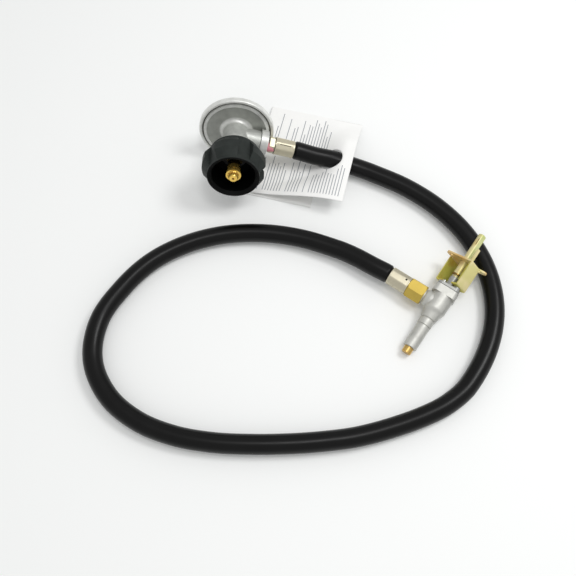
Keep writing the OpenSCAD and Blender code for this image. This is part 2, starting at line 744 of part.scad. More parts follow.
module check_poppet() color("gold") at_regulator() translate([0, 0, poppet_seat - 0.05]) {
    translate([0, 0, -poppet_len])
        tube_with_flats(poppet_bore_r - run_fit, poppet_len);
    translate([0, 0, -poppet_len - poppet_stem_len])
        cylinder(r = poppet_stem_r, h = poppet_stem_len + cut, $fn = small);
}

// A round slug with three flats that let the gas pass
module tube_with_flats(r, h) difference() {
    cylinder(r = r, h = h, $fn = small);
    for (a = [0:120:240]) rotate([0, 0, a])
        translate([r*0.75, -r, -cut]) cube([r, 2*r, h - 0.8 + cut]);
}

module check_spring() color("silver") at_regulator() translate([0, 0, poppet_floor + 0.05])
    coil(poppet_bore_r - check_wire_r - 0.25, check_wire_r,
        poppet_seat - poppet_len - poppet_floor - 0.15, check_turns);

// ---------------------------------------------------------------- hose ends

// The barbed end that goes into the hose, from z = 0
module barb_end() rotate_extrude($fn = small) polygon(concat(
    [[gas_bore_r, 0], [barb_r - barb_step, 0]],
    [for (i = [0:barbs - 1]) let (z = 0.8 + i*(barb_len - 1.6)/barbs,
            zn = 0.8 + (i + 1)*(barb_len - 1.6)/barbs)
        each [[barb_r - barb_step, z], [barb_r, z + 0.2], [barb_r - barb_step, zn]]],
    [[barb_r - barb_step, barb_len], [gas_bore_r, barb_len]]));

module outlet_fitting() color("khaki") at_outlet() {
    difference() {
        union() {
            translate([0, 0, thread_start + 0.2])
                cylinder(r = thread_r - seat_fit, h = outlet_end - thread_start - 0.2, $fn = small);
            translate([0, 0, thread_start + 1])
                cylinder(r = fit_neck_r, h = reg_ferrule_x + ferrule_wall - thread_start - 1,
                    $fn = small);
            translate([0, 0, fit_hex_x]) rotate([0, 0, 30]) hexagon(fit_hex_af, fit_hex_t);
        }
        translate([0, 0, thread_start]) cylinder(r = gas_bore_r, h = 2*outlet_end, $fn = small);
    }
    translate([0, 0, reg_ferrule_x + ferrule_wall - 0.1]) barb_end();
}

module thread_sealant() color("lightcoral") at_outlet() translate([0, 0, outlet_end + 0.02])
    tube(seal_r, fit_neck_r + seat_fit, seal_t);

// A crimped ferrule, closed at z = 0 round the fitting's collar
module ferrule(len, collar) difference() {
    union() {
        intersection() {
            cylinder(r = ferrule_r, h = len, $fn = fine);
            rotate([0, 0, 22.5]) cylinder(r = ferrule_af/2/cos(22.5), h = len, $fn = 8);
        }
        translate([0, 0, len - 1.2]) cylinder(r = ferrule_r, h = 1.2, $fn = fine);
        cylinder(r = ferrule_r, h = 0.8, $fn = fine);
    }
    translate([0, 0, -cut]) cylinder(r = collar + seat_fit, h = 2*cut + ferrule_wall, $fn = small);
    translate([0, 0, ferrule_wall]) cylinder(r = hose_neck_r + seat_fit, h = len, $fn = small);
}

module regulator_ferrule() color("tan") at_outlet() translate([0, 0, reg_ferrule_x])
    difference() {
        ferrule(reg_ferrule_len, fit_neck_r);
        rotate([0, 0, slit_turn])
            translate([ferrule_af/2 - 0.35, -slit_w/2, (reg_ferrule_len - slit_len)/2])
                cube([1, slit_w, slit_len]);
    }

module valve_ferrule() color("tan") at_inlet() translate([0, 0, valve_ferrule_x])
    difference() {
        ferrule(valve_ferrule_len, tail_head_r);
        rotate([0, 0, ferrule_hole_turn]) translate([0, 0, ferrule_hole_x])
            rotate([0, 90, 0]) cylinder(r = ferrule_hole_r, h = 2*ferrule_r, $fn = small);
    }

// The flared tube that the flare nut pulls on to the valve
module hose_tail() color("gold") at_inlet() {
    head_x = flare_nut_end + 0.1;
    rotate_extrude($fn = small) polygon([
        [gas_bore_r, flare_nose_x + 0.1], [flare_nose_r + seat_fit, flare_nose_x + 0.1],
        [flare_thread_r - 0.1, flare_thread_end + 0.25],
        [flare_thread_r - 0.1, flare_thread_end + 0.9], [tail_r, nut_inner_end + 0.2],
        [tail_r, head_x], [tail_head_r, head_x],
        [tail_head_r, valve_ferrule_x + ferrule_wall], [gas_bore_r, valve_ferrule_x + ferrule_wall]]);
    translate([0, 0, valve_ferrule_x + ferrule_wall - 0.1]) barb_end();
}

module flare_nut() color("gold") at_inlet() difference() {
    translate([0, 0, flare_nut_x]) intersection() {
        rotate([0, 0, flare_turn]) hexagon(flare_af, flare_len);
        union() {
            cylinder(r1 = flare_af/2, r2 = flare_af/2 + 1.6, h = 1.6, $fn = fine);
            translate([0, 0, 1.6]) cylinder(r = flare_af, h = flare_len - 3.2, $fn = fine);
            translate([0, 0, flare_len - 1.6])
                cylinder(r1 = flare_af/2 + 1.6, r2 = flare_af/2, h = 1.6, $fn = fine);
        }
    }
    cylinder(r = flare_thread_r + seat_fit, h = flare_thread_end + 1.1, $fn = small);
    translate([0, 0, flare_thread_end + 1.1]) cylinder(r1 = flare_thread_r + seat_fit,
        r2 = tail_r + seat_fit, h = nut_inner_end - flare_thread_end, $fn = small);
    cylinder(r = tail_r + seat_fit, h = 2*flare_nut_end, $fn = small);
}

// ---------------------------------------------------------------- hose

hose_start = reg_ferrule_x + ferrule_wall;
hose_mouth = reg_ferrule_x + reg_ferrule_len;
tail_start = valve_ferrule_x + ferrule_wall;
tail_mouth = valve_ferrule_x + valve_ferrule_len;
// The axis from one ferrule to the other
axis = concat([on_outlet(hose_mouth + flare_out)], route, [on_inlet(tail_mouth + flare_out)]);
function axis_dir(i) = i == 0 ? outlet_dir : i == len(axis) - 1 ? -inlet_dir
    : unit(axis[i + 1] - axis[i - 1]);
// A smooth curve from one point to the next, leaving each along its direction
function between(i, t) = let (a = axis[i], b = axis[i + 1], k = norm(b - a),
        u = k*axis_dir(i), v = k*axis_dir(i + 1))
    (2*pow(t, 3) - 3*t*t + 1)*a + (pow(t, 3) - 2*t*t + t)*u
    + (3*t*t - 2*pow(t, 3))*b + (pow(t, 3) - t*t)*v;
function between_dir(i, t) = unit(between(i, t + 0.01) - between(i, t - 0.01));

// Rings of the hose: [centre, direction, outer radius]
rings = concat(
    [[on_outlet(hose_start), outlet_dir, hose_neck_r],
     [on_outlet(hose_mouth + 0.1), outlet_dir, hose_neck_r]],
    [for (i = [0:len(axis) - 1]) each concat([[axis[i], axis_dir(i), hose_r]],
        i < len(axis) - 1 && norm(axis[i + 1] - axis[i]) > 1.2*2*hose_r
            ? [[between(i, 0.5), between_dir(i, 0.5), hose_r]] : [])],
    [[on_inlet(tail_mouth + 0.1), -inlet_dir, hose_neck_r],
     [on_inlet(tail_start), -inlet_dir, hose_neck_r]]);

function ring_points(c, d, r) = let (side = unit(cross(d, [0, 0, 1])), up = cross(side, d))
    [for (j = [0:hose_sides - 1]) let (a = 360*j/hose_sides)
        c + r*(cos(a)*side + sin(a)*up)];

module hose() color("black") {
    n = len(rings);
    m = hose_sides;
    inner_r = hose_bore_r/cos(180/m);
    inside = n*m;
    steps = [for (i = [0:n - 2]) norm(rings[i + 1][0] - rings[i][0])];
    echo(str("hose length: ", steps*[for (s = steps) 1], " in ", n, " rings"));
    points = concat(
        [for (g = rings) each ring_points(g[0], g[1], g[2])],
        [for (g = rings) each ring_points(g[0], g[1], inner_r)]);
    polyhedron(points, concat(
        [for (i = [0:n - 2], j = [0:m - 1]) let (k = (j + 1) % m)
            each [[i*m + j, i*m + k, (i + 1)*m + k], [i*m + j, (i + 1)*m + k, (i + 1)*m + j]]],
        [for (i = [0:n - 2], j = [0:m - 1]) let (k = (j + 1) % m)
            each [[inside + i*m + k, inside + i*m + j, inside + (i + 1)*m + k],
                  [inside + (i + 1)*m + k, inside + i*m + j, inside + (i + 1)*m + j]]],
        [for (j = [0:m - 1]) let (k = (j + 1) % m)
            each [[k, j, inside + j], [k, inside + j, inside + k]]],
        [for (j = [0:m - 1]) let (k = (j + 1) % m, e = (n - 1)*m)
            each [[e + j, e + k, inside + e + k], [e + j, inside + e + k, inside + e + j]]]));
}

// ---------------------------------------------------------------- leaflet

// Height of the upper sheet: it lies under the hose on the left, and rises on the
// right so that the strip beside the hole crosses over the hose
function leaf_z(u, v) = let (start = rise_start*smooth(v/rise_full))
    leaf_low + (leaf_high - leaf_low)*smooth((u - start)/(rise_end - start))
    *(1 - smooth((v - side_start)/(leaf_h - side_start)));

module leaf_sheet() {
    nu = leaf_cols + 1;
    nv = leaf_rows + 1;
    // Columns stand close together where the paper bends
    us = [for (i = [0:leaf_cols]) i <= 4 ? rise_start*i/4
        : i <= leaf_cols - 2 ? rise_start + (rise_end - rise_start)*(i - 4)/(leaf_cols - 6)
        : rise_end + (leaf_w - rise_end)*(i - leaf_cols + 2)/2];
    top = nu*nv;
    polyhedron(concat(
        [for (i = [0:nu - 1], j = [0:nv - 1]) let (v = leaf_h*j/leaf_rows)
            [us[i], v, leaf_z(us[i], v)]],
        [for (i = [0:nu - 1], j = [0:nv - 1]) let (v = leaf_h*j/leaf_rows)
            [us[i], v, leaf_z(us[i], v) + paper_t]]),
        concat(
        [for (i = [0:nu - 2], j = [0:nv - 2]) let (p = i*nv + j)
            each [[p, p + nv, p + nv + 1], [p, p + nv + 1, p + 1],
                  [top + p, top + p + 1, top + p + nv + 1],
                  [top + p, top + p + nv + 1, top + p + nv]]],
        [for (i = [0:nu - 2]) let (p = i*nv, q = i*nv + nv - 1)
            each [[p, top + p, top + p + nv], [p, top + p + nv, p + nv],
                  [q, q + nv, top + q + nv], [q, top + q + nv, top + q]]],
        [for (j = [0:nv - 2]) let (p = j, q = (nu - 1)*nv + j)
            each [[p, p + 1, top + p + 1], [p, top + p + 1, top + p],
                  [q, top + q, top + q + 1], [q, top + q + 1, q + 1]]]));
}

module instruction_leaflet() color("white")
    translate([leaf_x, leaf_y, 0]) rotate([0, 0, leaf_turn]) {
        difference() {
            leaf_sheet();
            translate([hole_u, hole_v, 0]) cylinder(r = leaf_hole_r, h = 2*leaf_high, $fn = 12);
        }
        translate([flap_in, -flap_drop, 0]) cube([flap_w, leaf_h + flap_drop, paper_t]);
        translate([flap_in, leaf_h - fold_w, 0])
            cube([rise_start - flap_in, fold_w, leaf_low + paper_t/2]);
    }

// ---------------------------------------------------------------- valve

module valve_body() color("gainsboro") at_valve() difference() {
    union() {
        hub_start = spud_len + neck_groove;
        rotate_extrude($fn = fine) polygon([
            [0, 0], [spud_r - 0.4, 0], [spud_r, 0.4], [spud_r, spud_len],
            [spud_r - groove_d, spud_len + 0.1], [spud_r - groove_d, hub_start],
            [spud_r + hub_extra, hub_start + 0.3], [spud_r + hub_extra, hub_start + hub_len - 0.6],
            [spud_r, hub_start + hub_len - 0.3], [spud_r, cone_start],
            [spud_r + 0.8, cone_start + 0.2], [spud_r + 1.1, cone_start + 1.8],
            [barrel_r - 1.4, cone_end - 3.2], [barrel_r - 0.3, cone_end - 0.9],
            [barrel_r, cone_end + 0.3], [barrel_r, flange_s + 1], [0, flange_s + 1]]);
        translate([0, 0, flange_s])
            linear_extrude(body_top - flange_s) round_rect(flange_w, flange_d, corner_r);
        inlet_boss();
    }
    valve_bores();
    at_screws() translate([0, 0, body_top - screw_depth + 3])
        cylinder(r = screw_r + seat_fit/2, h = screw_depth, $fn = small);
}

module inlet_boss() translate([0, 0, inlet_s]) rotate([0, 90, 0]) {
    rotate_extrude($fn = fine) polygon(concat(
        [[0, 0], [inlet_boss_r + 1.2, 0], [inlet_boss_r + 0.9, 7]],
        arc(inlet_boss_r - 2.4, inlet_end - 2.5, 2.5, 20, 90),
        [[flare_thread_r - 2, inlet_end], [0, inlet_end]]));
    rotate_extrude($fn = small) polygon([
        [0, 0], [flare_thread_r, 0], [flare_thread_r, flare_thread_end],
        [flare_nose_r, flare_nose_x], [0, flare_nose_x]]);
}

module valve_bores() {
    // Taper seat of the plug, with the same slope as the plug
    slope = (plug_big_r - plug_small_r)/(plug_top - plug_s);
    translate([0, 0, plug_s]) cylinder(r1 = plug_small_r + seat_fit,
        r2 = plug_big_r + seat_fit + slope*cut, h = plug_top - plug_s + cut, $fn = small);
    translate([0, 0, plug_top]) cylinder(r = cavity_r, h = body_top, $fn = small);
    translate([0, 0, -cut]) cylinder(r = outlet_bore_r, h = plug_s + 2*cut, $fn = small);
    translate([0, 0, inlet_s]) rotate([0, 90, 0])
        cylinder(r = inlet_bore_r, h = 2*flare_nose_x, $fn = small);
}

module at_screws() for (i = [0, 180])
    rotate([0, 0, 180 - bracket_roll + i]) translate([screw_n, 0, 0]) children();

module orifice() color("darkgoldenrod") at_valve() difference() {
    union() {
        translate([0, 0, -orifice_len]) cylinder(r = orifice_r, h = orifice_len - 0.02, $fn = small);
        cylinder(r = outlet_bore_r - seat_fit, h = 2*orifice_thread, center = true, $fn = small);
    }
    translate([0, 0, -2*orifice_len]) cylinder(r = orifice_hole_r, h = 4*orifice_len, $fn = small);
    translate([0, 0, 1 - orifice_len]) cylinder(r = 1.4, h = orifice_len + orifice_thread,
        $fn = small);
    translate([-2*orifice_r, -orifice_slot/2, -orifice_len - cut])
        cube([4*orifice_r, orifice_slot, 0.8 + cut]);
}

module valve_plug() color("gold") at_valve() difference() {
    translate([0, 0, plug_s + 0.1]) cylinder(r1 = plug_small_r, r2 = plug_big_r,
        h = plug_top - plug_s - 0.1, $fn = small);
    translate([0, 0, plug_s - cut])
        cylinder(r = plug_bore_r, h = inlet_s + port_r/2 - plug_s + cut, $fn = small);
    rotate([0, 0, port_turn]) translate([0, 0, inlet_s]) rotate([0, 90, 0])
        cylinder(r = port_r, h = 2*plug_big_r, $fn = small);
    translate([-tongue_w/2 - 0.2, -tongue_t/2 - run_fit, slot_floor])
        cube([tongue_w + 0.4, tongue_t + 2*run_fit, plug_top]);
}

module plug_spring() color("silver") at_valve() translate([0, 0, plug_top + 0.05])
    coil(plug_coil_r, plug_wire_r, plug_spring_top - plug_top, plug_turns);

module cap_gasket() color("dimgray") at_valve() translate([0, 0, body_top]) difference() {
    linear_extrude(gasket_t) round_rect(cap_w, cap_d, corner_r);
    translate([0, 0, -cut]) cylinder(r = cavity_r, h = gasket_t + 2*cut, $fn = small);
    at_screws() translate([0, 0, -cut])
        cylinder(r = screw_r + 0.2, h = gasket_t + 2*cut, $fn = small);
}

module valve_cap() color("silver") at_valve() difference() {
    union() {
        translate([0, 0, cap_s]) linear_extrude(cap_t) round_rect(cap_w, cap_d, corner_r - 0.3);
        translate([0, 0, cap_s]) cylinder(r = cap_neck_r, h = cap_neck_end - cap_s, $fn = small);
        at_screws() translate([0, 0, cap_s])
            cylinder(r = pad_r - 0.2, h = pad_top - cap_s, $fn = small);
    }
    translate([0, 0, cap_s - cut]) cylinder(r = cavity_r, h = cap_pocket + cut, $fn = small);
    translate([0, 0, cap_s]) cylinder(r = stem_neck_r + pin_fit, h = cap_neck_end, $fn = small);
    at_screws() translate([0, 0, cap_s - cut])
        cylinder(r = screw_r + 0.2, h = pad_top, $fn = small);
}

module cap_screw(turn) at_bracket() rotate([0, 0, turn]) translate([screw_n, 0, 0])
    difference() {
        head_s = pad_top + sheet_t;
        union() {
            translate([0, 0, head_s]) cylinder(r = screw_head_r, h = screw_head_t, $fn = small);
            translate([0, 0, body_top - screw_depth + 3.3])
                cylinder(r = screw_r, h = head_s - body_top + screw_depth - 3, $fn = small);
        }
        translate([-screw_head_r - cut, -drive_w/2, head_s + screw_head_t - 0.8])
            cube([2*screw_head_r + 2*cut, drive_w, 1]);
    }
module cap_screw_upper() color("whitesmoke") cap_screw(0);
module cap_screw_lower() color("whitesmoke") cap_screw(180);

module stem() color("khaki") at_bracket() difference() {
    union() {
        rotate_extrude($fn = small) polygon([
            [0, neck_s], [stem_neck_r, neck_s], [stem_neck_r, shoulder_s],
            [stem_low_r, shoulder_s], [stem_low_r, flat_start], [stem_r, flat_start],
            [stem_r, stem_tip - tip_round], [stem_r - tip_round, stem_tip], [0, stem_tip]]);
        rotate([0, 0, bracket_roll - 180])
            translate([-tongue_w/2, -tongue_t/2, tongue_s])
                intersection() {
                    cube([tongue_w, tongue_t, neck_s + 1 - tongue_s]);
                    translate([tongue_w/2, tongue_t/2, 0])
                        cylinder(r = tongue_w/2, h = 2*plug_top, $fn = small);
                }
    }
    translate([stem_flat, -stem_r, flat_start])
        cube([stem_r, 2*stem_r, stem_tip]);
    translate([slit_off, -2*stem_r, slit_start])
        cube([slit_depth, 4*stem_r, slit_end - slit_start]);
    translate([0, 0, stem_pin_s]) rotate([90, 0, 0])
        cylinder(r = stem_pin_r + seat_fit/2, h = 4*stem_r, center = true, $fn = small);
}

module stem_pin() color("silver") at_bracket() translate([0, 0, stem_pin_s])
    rotate([90, 0, 0]) cylinder(r = stem_pin_r, h = 2*stem_pin_half, center = true, $fn = small);

module stem_clip() color("gold") at_bracket() translate([0, 0, clip_s]) difference() {
    tube(clip_r, stem_neck_r + seat_fit/2, clip_t);
    translate([-2*clip_r, -1.2, -cut]) cube([2*clip_r, 2.4, clip_t + 2*cut]);
}

module bracket() color("khaki") at_bracket() difference() {
    union() {
        // Plate, legs and feet are one bent sheet
        translate([0, bracket_w/2, 0]) rotate([90, 0, 0]) linear_extrude(bracket_w)
            polygon(bracket_outline());
        // Two corners of the plate reach past the legs for the panel's screws
        for (i = [0, 180]) rotate([0, 0, i]) translate([0, 0, plate_s])
            linear_extrude(sheet_t) polygon(lug_outline(i == 0 ? 0 : lug_out));
        translate([guide_n, -guide_w/2, guide_low])
            cube([sheet_t, guide_w, guide_high - guide_low]);
    }
    translate([0, 0, plate_s - cut]) cylinder(r = stem_hole_r, h = sheet_t + 2*cut, $fn = small);
    for (i = [-1, 1]) {
        translate([i > 0 ? panel_n + lug_out/2 : -panel_n, i*panel_b, plate_s - cut])
            cylinder(r = panel_hole_r, h = sheet_t + 2*cut, $fn = small);
        translate([i*screw_n, 0, pad_top - cut])
            cylinder(r = screw_r + 0.2, h = sheet_t + 2*cut, $fn = small);
    }
}

// Outline of the bracket's sheet seen from its side: foot, bend, leg and plate
function mirrored(points) = [for (i = [len(points) - 1:-1:0]) [-points[i][0], points[i][1]]];
function bracket_outline() = let (
    leg_n = leg_gap/2,
    bend = 0.8,
    outside = concat(
        [[foot_in, pad_top]],
        arc(leg_n + sheet_t - bend - 0.6, pad_top + bend + 0.6, bend + 0.6, -90, 0, 4),
        arc(leg_n + sheet_t - plate_bend, plate_s + sheet_t - plate_bend, plate_bend, 0, 90, 4)),
    inside = concat(
        arc(leg_n + sheet_t - plate_bend, plate_s + sheet_t - plate_bend,
            plate_bend - sheet_t, 90, 0, 4),
        arc(leg_n - bend/2, pad_top + sheet_t + bend/2, bend/2, 0, -90, 4),
        [[foot_in, pad_top + sheet_t]]))
    concat(outside, mirrored(outside), mirrored(inside), inside);
function lug_outline(out) = let (
    edge_n = leg_gap/2 + sheet_t,
    edge_b = bracket_w/2 - 0.5)
    concat([[-edge_n + 2, -edge_b], [-edge_n, -edge_b - 1]],
        arc(lug_round - edge_n - out, lug_round - plate_reach, lug_round,
            180 - 8*out, 287, 6),
        [[edge_n - 3, -edge_b - 0.5], [edge_n - 3, -edge_b]]);

// ---------------------------------------------------------------- assembly

regulator_body();
bonnet();
bonnet_cap();
adjusting_plug();
main_spring();
diaphragm();
diaphragm_plate();
lever();
lever_pin();
seat_plunger();
seat_disc();
inlet_nozzle();
vent_screen();
hand_nut();
thermal_bushing();
inlet_nipple();
check_poppet();
check_spring();
outlet_fitting();
thread_sealant();
regulator_ferrule();
hose();
valve_ferrule();
hose_tail();
flare_nut();
instruction_leaflet();
valve_body();
orifice();
valve_plug();
plug_spring();
cap_gasket();
valve_cap();
cap_screw_upper();
cap_screw_lower();
stem();
stem_pin();
stem_clip();
bracket();
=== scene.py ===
"""Looks of a propane regulator hose: a low-pressure regulator with its cylinder nut, a
rubber gas hose with crimped ferrules, a burner valve on its bracket and a folded leaflet.
Metal, plastic and small seals are copies of the CAD parts with their edges broken, as
deburring and moulding leave them, and most hidden pieces keep the CAD part's own mesh.
Hose, leaflet, springs, diaphragm and sealant are made here."""
import json
from math import cos, pi, radians, sin

import bmesh
import bpy
from bpy.props import FloatProperty, FloatVectorProperty, IntProperty, PointerProperty
from bpy.types import Operator, Panel, PropertyGroup
from mathutils import Matrix, Vector, noise

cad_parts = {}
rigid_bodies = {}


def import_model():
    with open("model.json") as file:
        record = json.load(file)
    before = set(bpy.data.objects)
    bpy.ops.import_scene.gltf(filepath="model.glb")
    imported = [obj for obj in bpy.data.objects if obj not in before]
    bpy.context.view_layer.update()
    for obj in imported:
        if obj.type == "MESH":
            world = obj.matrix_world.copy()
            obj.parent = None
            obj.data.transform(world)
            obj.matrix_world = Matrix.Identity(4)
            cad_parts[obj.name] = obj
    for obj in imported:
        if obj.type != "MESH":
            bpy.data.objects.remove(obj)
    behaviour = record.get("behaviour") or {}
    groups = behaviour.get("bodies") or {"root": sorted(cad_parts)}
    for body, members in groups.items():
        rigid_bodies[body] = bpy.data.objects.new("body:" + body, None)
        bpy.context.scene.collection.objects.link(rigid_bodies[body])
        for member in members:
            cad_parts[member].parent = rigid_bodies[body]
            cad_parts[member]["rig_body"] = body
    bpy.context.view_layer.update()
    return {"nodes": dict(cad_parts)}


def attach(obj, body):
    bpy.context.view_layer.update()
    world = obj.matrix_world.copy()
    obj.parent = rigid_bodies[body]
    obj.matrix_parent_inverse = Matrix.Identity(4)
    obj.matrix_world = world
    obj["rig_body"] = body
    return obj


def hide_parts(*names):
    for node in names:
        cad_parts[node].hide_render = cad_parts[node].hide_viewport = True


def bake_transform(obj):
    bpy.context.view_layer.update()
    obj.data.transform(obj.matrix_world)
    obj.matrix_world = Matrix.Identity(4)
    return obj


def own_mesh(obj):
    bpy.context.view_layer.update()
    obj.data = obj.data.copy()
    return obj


bl_info = {
    "name": "Propane regulator hose",
    "version": (1, 0, 0),
    "blender": (4, 5, 0),
    "location": "View3D > Sidebar > Gas line",
    "description": "Builds the regulator, hose, burner valve and leaflet around the CAD frame",
    "category": "Object",
}

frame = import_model()
MM = 0.001

# ------------------------------------------------------------------ places

REG_PLACE = (-80.7, 75.8, 29.76484)
REG_LEAN, OUTLET_ROLL, OUTLET_S = 14.3, 17.35, 6.5
VALVE_PLACE = (49.3, -96.9, 5.24842)
VALVE_PITCH, VALVE_TURN, INLET_S, BRACKET_ROLL = 8.0, 54.92, 39.0, 41.5


def turned(angle, axis):
    return Matrix.Rotation(radians(angle), 4, axis)


def shifted(*place):
    """A move given in millimetres."""
    return Matrix.Translation(Vector(place) * MM)


# z runs along the regulator's axis to the cylinder nut, and x along its outlet
REGULATOR = shifted(*REG_PLACE) @ turned(90 - REG_LEAN, "X") @ turned(-OUTLET_ROLL, "Z")
# z runs out along the outlet
OUTLET = REGULATOR @ shifted(0, 0, OUTLET_S) @ turned(90, "Y")
# z runs along the valve's stem, and x toward the hose
VALVE = (shifted(*VALVE_PLACE) @ turned(VALVE_TURN, "Z") @ turned(90 - VALVE_PITCH, "Y")
         @ turned(90, "Z"))
# z runs out along the valve's inlet
INLET = VALVE @ shifted(0, 0, INLET_S) @ turned(90, "Y")
BRACKET = VALVE @ turned(180 - BRACKET_ROLL, "Z")

# The hose's axis on the table, in millimetres, from the regulator to the valve
LIE = 7.3
HOSE_ROUTE = [
    (-18, 63.3, 13), (-2.5, 61.3, 10), (12.5, 56.5, 8.2), (27.5, 50.7, 7.4),
    (55.5, 36.3, LIE), (80.5, 16.8, LIE), (100, -7.6, LIE), (112, -36.7, LIE),
    (114.5, -67.3, LIE), (107, -97, LIE), (90, -125.5, LIE), (74.5, -139, LIE),
    (56, -148.3, LIE), (32, -156.7, LIE), (8, -162.8, LIE), (-15, -165.8, LIE),
    (-38, -167.4, LIE), (-65, -167.8, LIE), (-92.5, -166.4, LIE), (-120, -161.5, LIE),
    (-146.5, -151, LIE), (-169, -132.7, LIE), (-182.3, -106, LIE), (-180.5, -76, LIE),
    (-165.5, -49.7, LIE), (-145.5, -28.3, LIE), (-120.5, -13.7, LIE), (-91.5, -5.3, LIE),
    (-60.5, -3.7, LIE), (-30.5, -8.2, 7.4), (-1.5, -18.4, 8.3), (12, -25.4, 9.4),
    (25.5, -34, 10.3)]
HOSE_START, HOSE_MOUTH = 32.5, 47.1     # along the outlet: inside the ferrule, its end
TAIL_START, TAIL_MOUTH = 26.5, 41.2     # along the inlet
SWELL_START, SWELL = 0.1, 2.2           # past a ferrule: the hose starts to swell, is full
HOSE_NECK_R = 6.1

# Springs: the station where each stands, its length, and the travel that squashes it. The
# first two stand on the regulator's axis and the last on the valve's.
MAIN_SPRING_S, MAIN_SPRING_LEN, PLATE_TRAVEL = -15.4, 10.1, 1.2
CHECK_SPRING_S, CHECK_SPRING_LEN, POPPET_TRAVEL = 31.15, 15.25, 1.5
PLUG_SPRING_S, PLUG_SPRING_LEN, STEM_TRAVEL = 46.05, 4.5, 2.0

DIA_FRONT, DIA_BACK = -4.0, -3.2         # the diaphragm's two faces
DIA_IN_R, DIA_FOLD = 16.8, 6.0           # where its fold starts, and the fold's width
DIA_HOLE_R, DIA_RIM_R = 1.5, 28.4
DIA_WEDGES = 12                          # parts of the fold

SEALANT_Z, SEALANT_R, SEALANT_THICK_R = 25.4, 5.5, 0.6    # middle of the sealant's ring
SEALANT_SIDE = Vector((cos(radians(178)), sin(radians(178)), 0))    # where it ran to

LEAF_PLACE = shifted(-74, 37.6, 0) @ turned(-14, "Z")
LEAF_LOW, LEAF_HIGH = 1.2, 17.0         # height where it lies, and over the hose
# It rises along u from RISE_START, or from nearer its corner below v = RISE_FULL, up to
# RISE_END, and sinks again along v from SIDE_START to its edge
RISE_START, RISE_FULL, RISE_END, SIDE_START = 44.0, 30.0, 73.0, 52.0
HOLE_U, HOLE_V = 61.5, 39.2
FLAP_IN, FLAP_DROP, FOLD_LOSS = 1.0, 2.0, 2.0    # its inset, how far it shows, the fold's paper
FLAP_Z = 0.15                           # height of the part folded under
CELLS_U, CELLS_V = 79, 85               # cells of the upper sheet's mesh
FOLD_STEPS, FLAP_STEPS = 6, 40

# Where the cast and moulded finishes, the painted shade and the painted highlights change:
# radii, heights and stations, in millimetres
FACE_R = 30                             # reach of the regulator's round face
FACE_TOP = (1.7, 2.7)                   # height in which the face gives way to the boss
BOSS_END = (18.6, 19.0)                 # along the outlet, where its turned ring starts
NECK_START = (14.8, 15.2)               # along the axis, where its tool lines start
# Painted shade: the nut's bore and its mouth are coloured near black
NUT_BORE_SHADE = (18.8, 19.3)               # the nut's bore is black inside this radius
NUT_MOUTH_SHADE = (51.9, 51.4)                # and its mouth beyond this station
# Between two stations, or two radii, the colour sinks to a share of itself, as painted shade
NIPPLE_SHADE, FITTING_SHADE = (43, 40.5, 0.08), (26.75, 26.5, 0.08)
FERRULE_SHADE = (6.62, 6.5, 0.05)
# Where the zinc film changes between inner and outer faces, and on the stem's flat
BRACKET_SIDES, BRACKET_TOP, STEM_FLAT = (10.0, 10.7), (76.9, 77.3), (2.15, 2.0)

# The eye, and the softboxes as name, place, aim, width and power
EYE_PLACE = (-0.0342694, -0.2563561, 0.5056854)
EYE_TURN = (22.46190, 0.61985, 0.03489)
SOFTBOXES = (("right softbox", (0.55, 0.12, 1.0), (0.05, -0.05, 0), 0.34, 4.4),
             ("overhead softbox", (0.08, -0.12, 1.25), (0.0, -0.05, 0), 0.26, 2.3))

WAVE_TURN = 6.283    # a wave node's bands repeat about every 2 / (scale * this) metres


def linear(text):
    """The linear colour of an sRGB hex value."""
    parts = [int(text[i:i + 2], 16) / 255 for i in (1, 3, 5)]
    return tuple(c / 12.92 if c <= 0.04045 else ((c + 0.055) / 1.055) ** 2.4 for c in parts)


# ------------------------------------------------------------------ settings


def tint(name, description, text):
    return FloatVectorProperty(name=name, description=description, default=linear(text),
                               size=3, min=0, max=1, subtype="COLOR")


def size(name, description, millimetres):
    return FloatProperty(name=name, description=description, default=millimetres * MM,
                         min=0, unit="LENGTH", precision=5)


class HoseSettings(PropertyGroup):
    radius: size("Radius", "Outer radius of the hose", 7.25)
    length: size("Length", "Length of the hose along its axis", 912.5)
    rubber: tint("Rubber", "Colour of the hose's cover", "#070707")


class LeafletSettings(PropertyGroup):
    width: size("Width", "Width of the leaflet's upper sheet", 79)
    height: size("Height", "Height of the leaflet's upper sheet", 85)
    flap_width: size("Flap width", "Width of the part folded under", 52.5)
    hole_radius: size("Hole radius", "Radius of the hole round the hose", 9.0)
    thickness: size("Thickness", "Thickness of the folded paper", 0.26)
    paper: tint("Paper", "Colour of the paper", "#f8f8f6")
    ink: tint("Rules", "Colour of the printed rules", "#9a9ea3")


class CastSettings(PropertyGroup):
    regulator: tint("Regulator casting", "Colour of the zinc body", "#a6a8a2")
    # Partly a cut finish and partly a painted highlight on the fillet and the rim's bead
    machined_highlight: tint("Machined edge", "Colour where a tool has cut the casting", "#dcddd9")
    neck: tint("Neck", "Colour of the neck and the outlet's boss", "#c2c4bf")
    valve: tint("Valve casting", "Colour of the aluminium valve", "#c9c9c3")
    # Painted shade in the recessed groove under the rim
    groove_shade: tint("Groove", "Colour of the groove under the rim", "#45453f")
    shell: tint("Shell", "Colour of the bonnet", "#e8e9e5")
    shell_shade: tint("Shell's shade", "Colour of the bonnet's darker clouds", "#dcddd9")
    edge: size("Edge", "Radius of a cast edge", 0.45)


class NutSettings(PropertyGroup):
    plastic: tint("Plastic", "Colour of the cylinder nut", "#303432")
    bushing: tint("Bushing", "Colour of the bushing", "#131313")
    cap: tint("Cap", "Colour of the bonnet's cap", "#4a4b4b")
    edge: size("Edge", "Radius of the nut's moulded edges", 0.9)


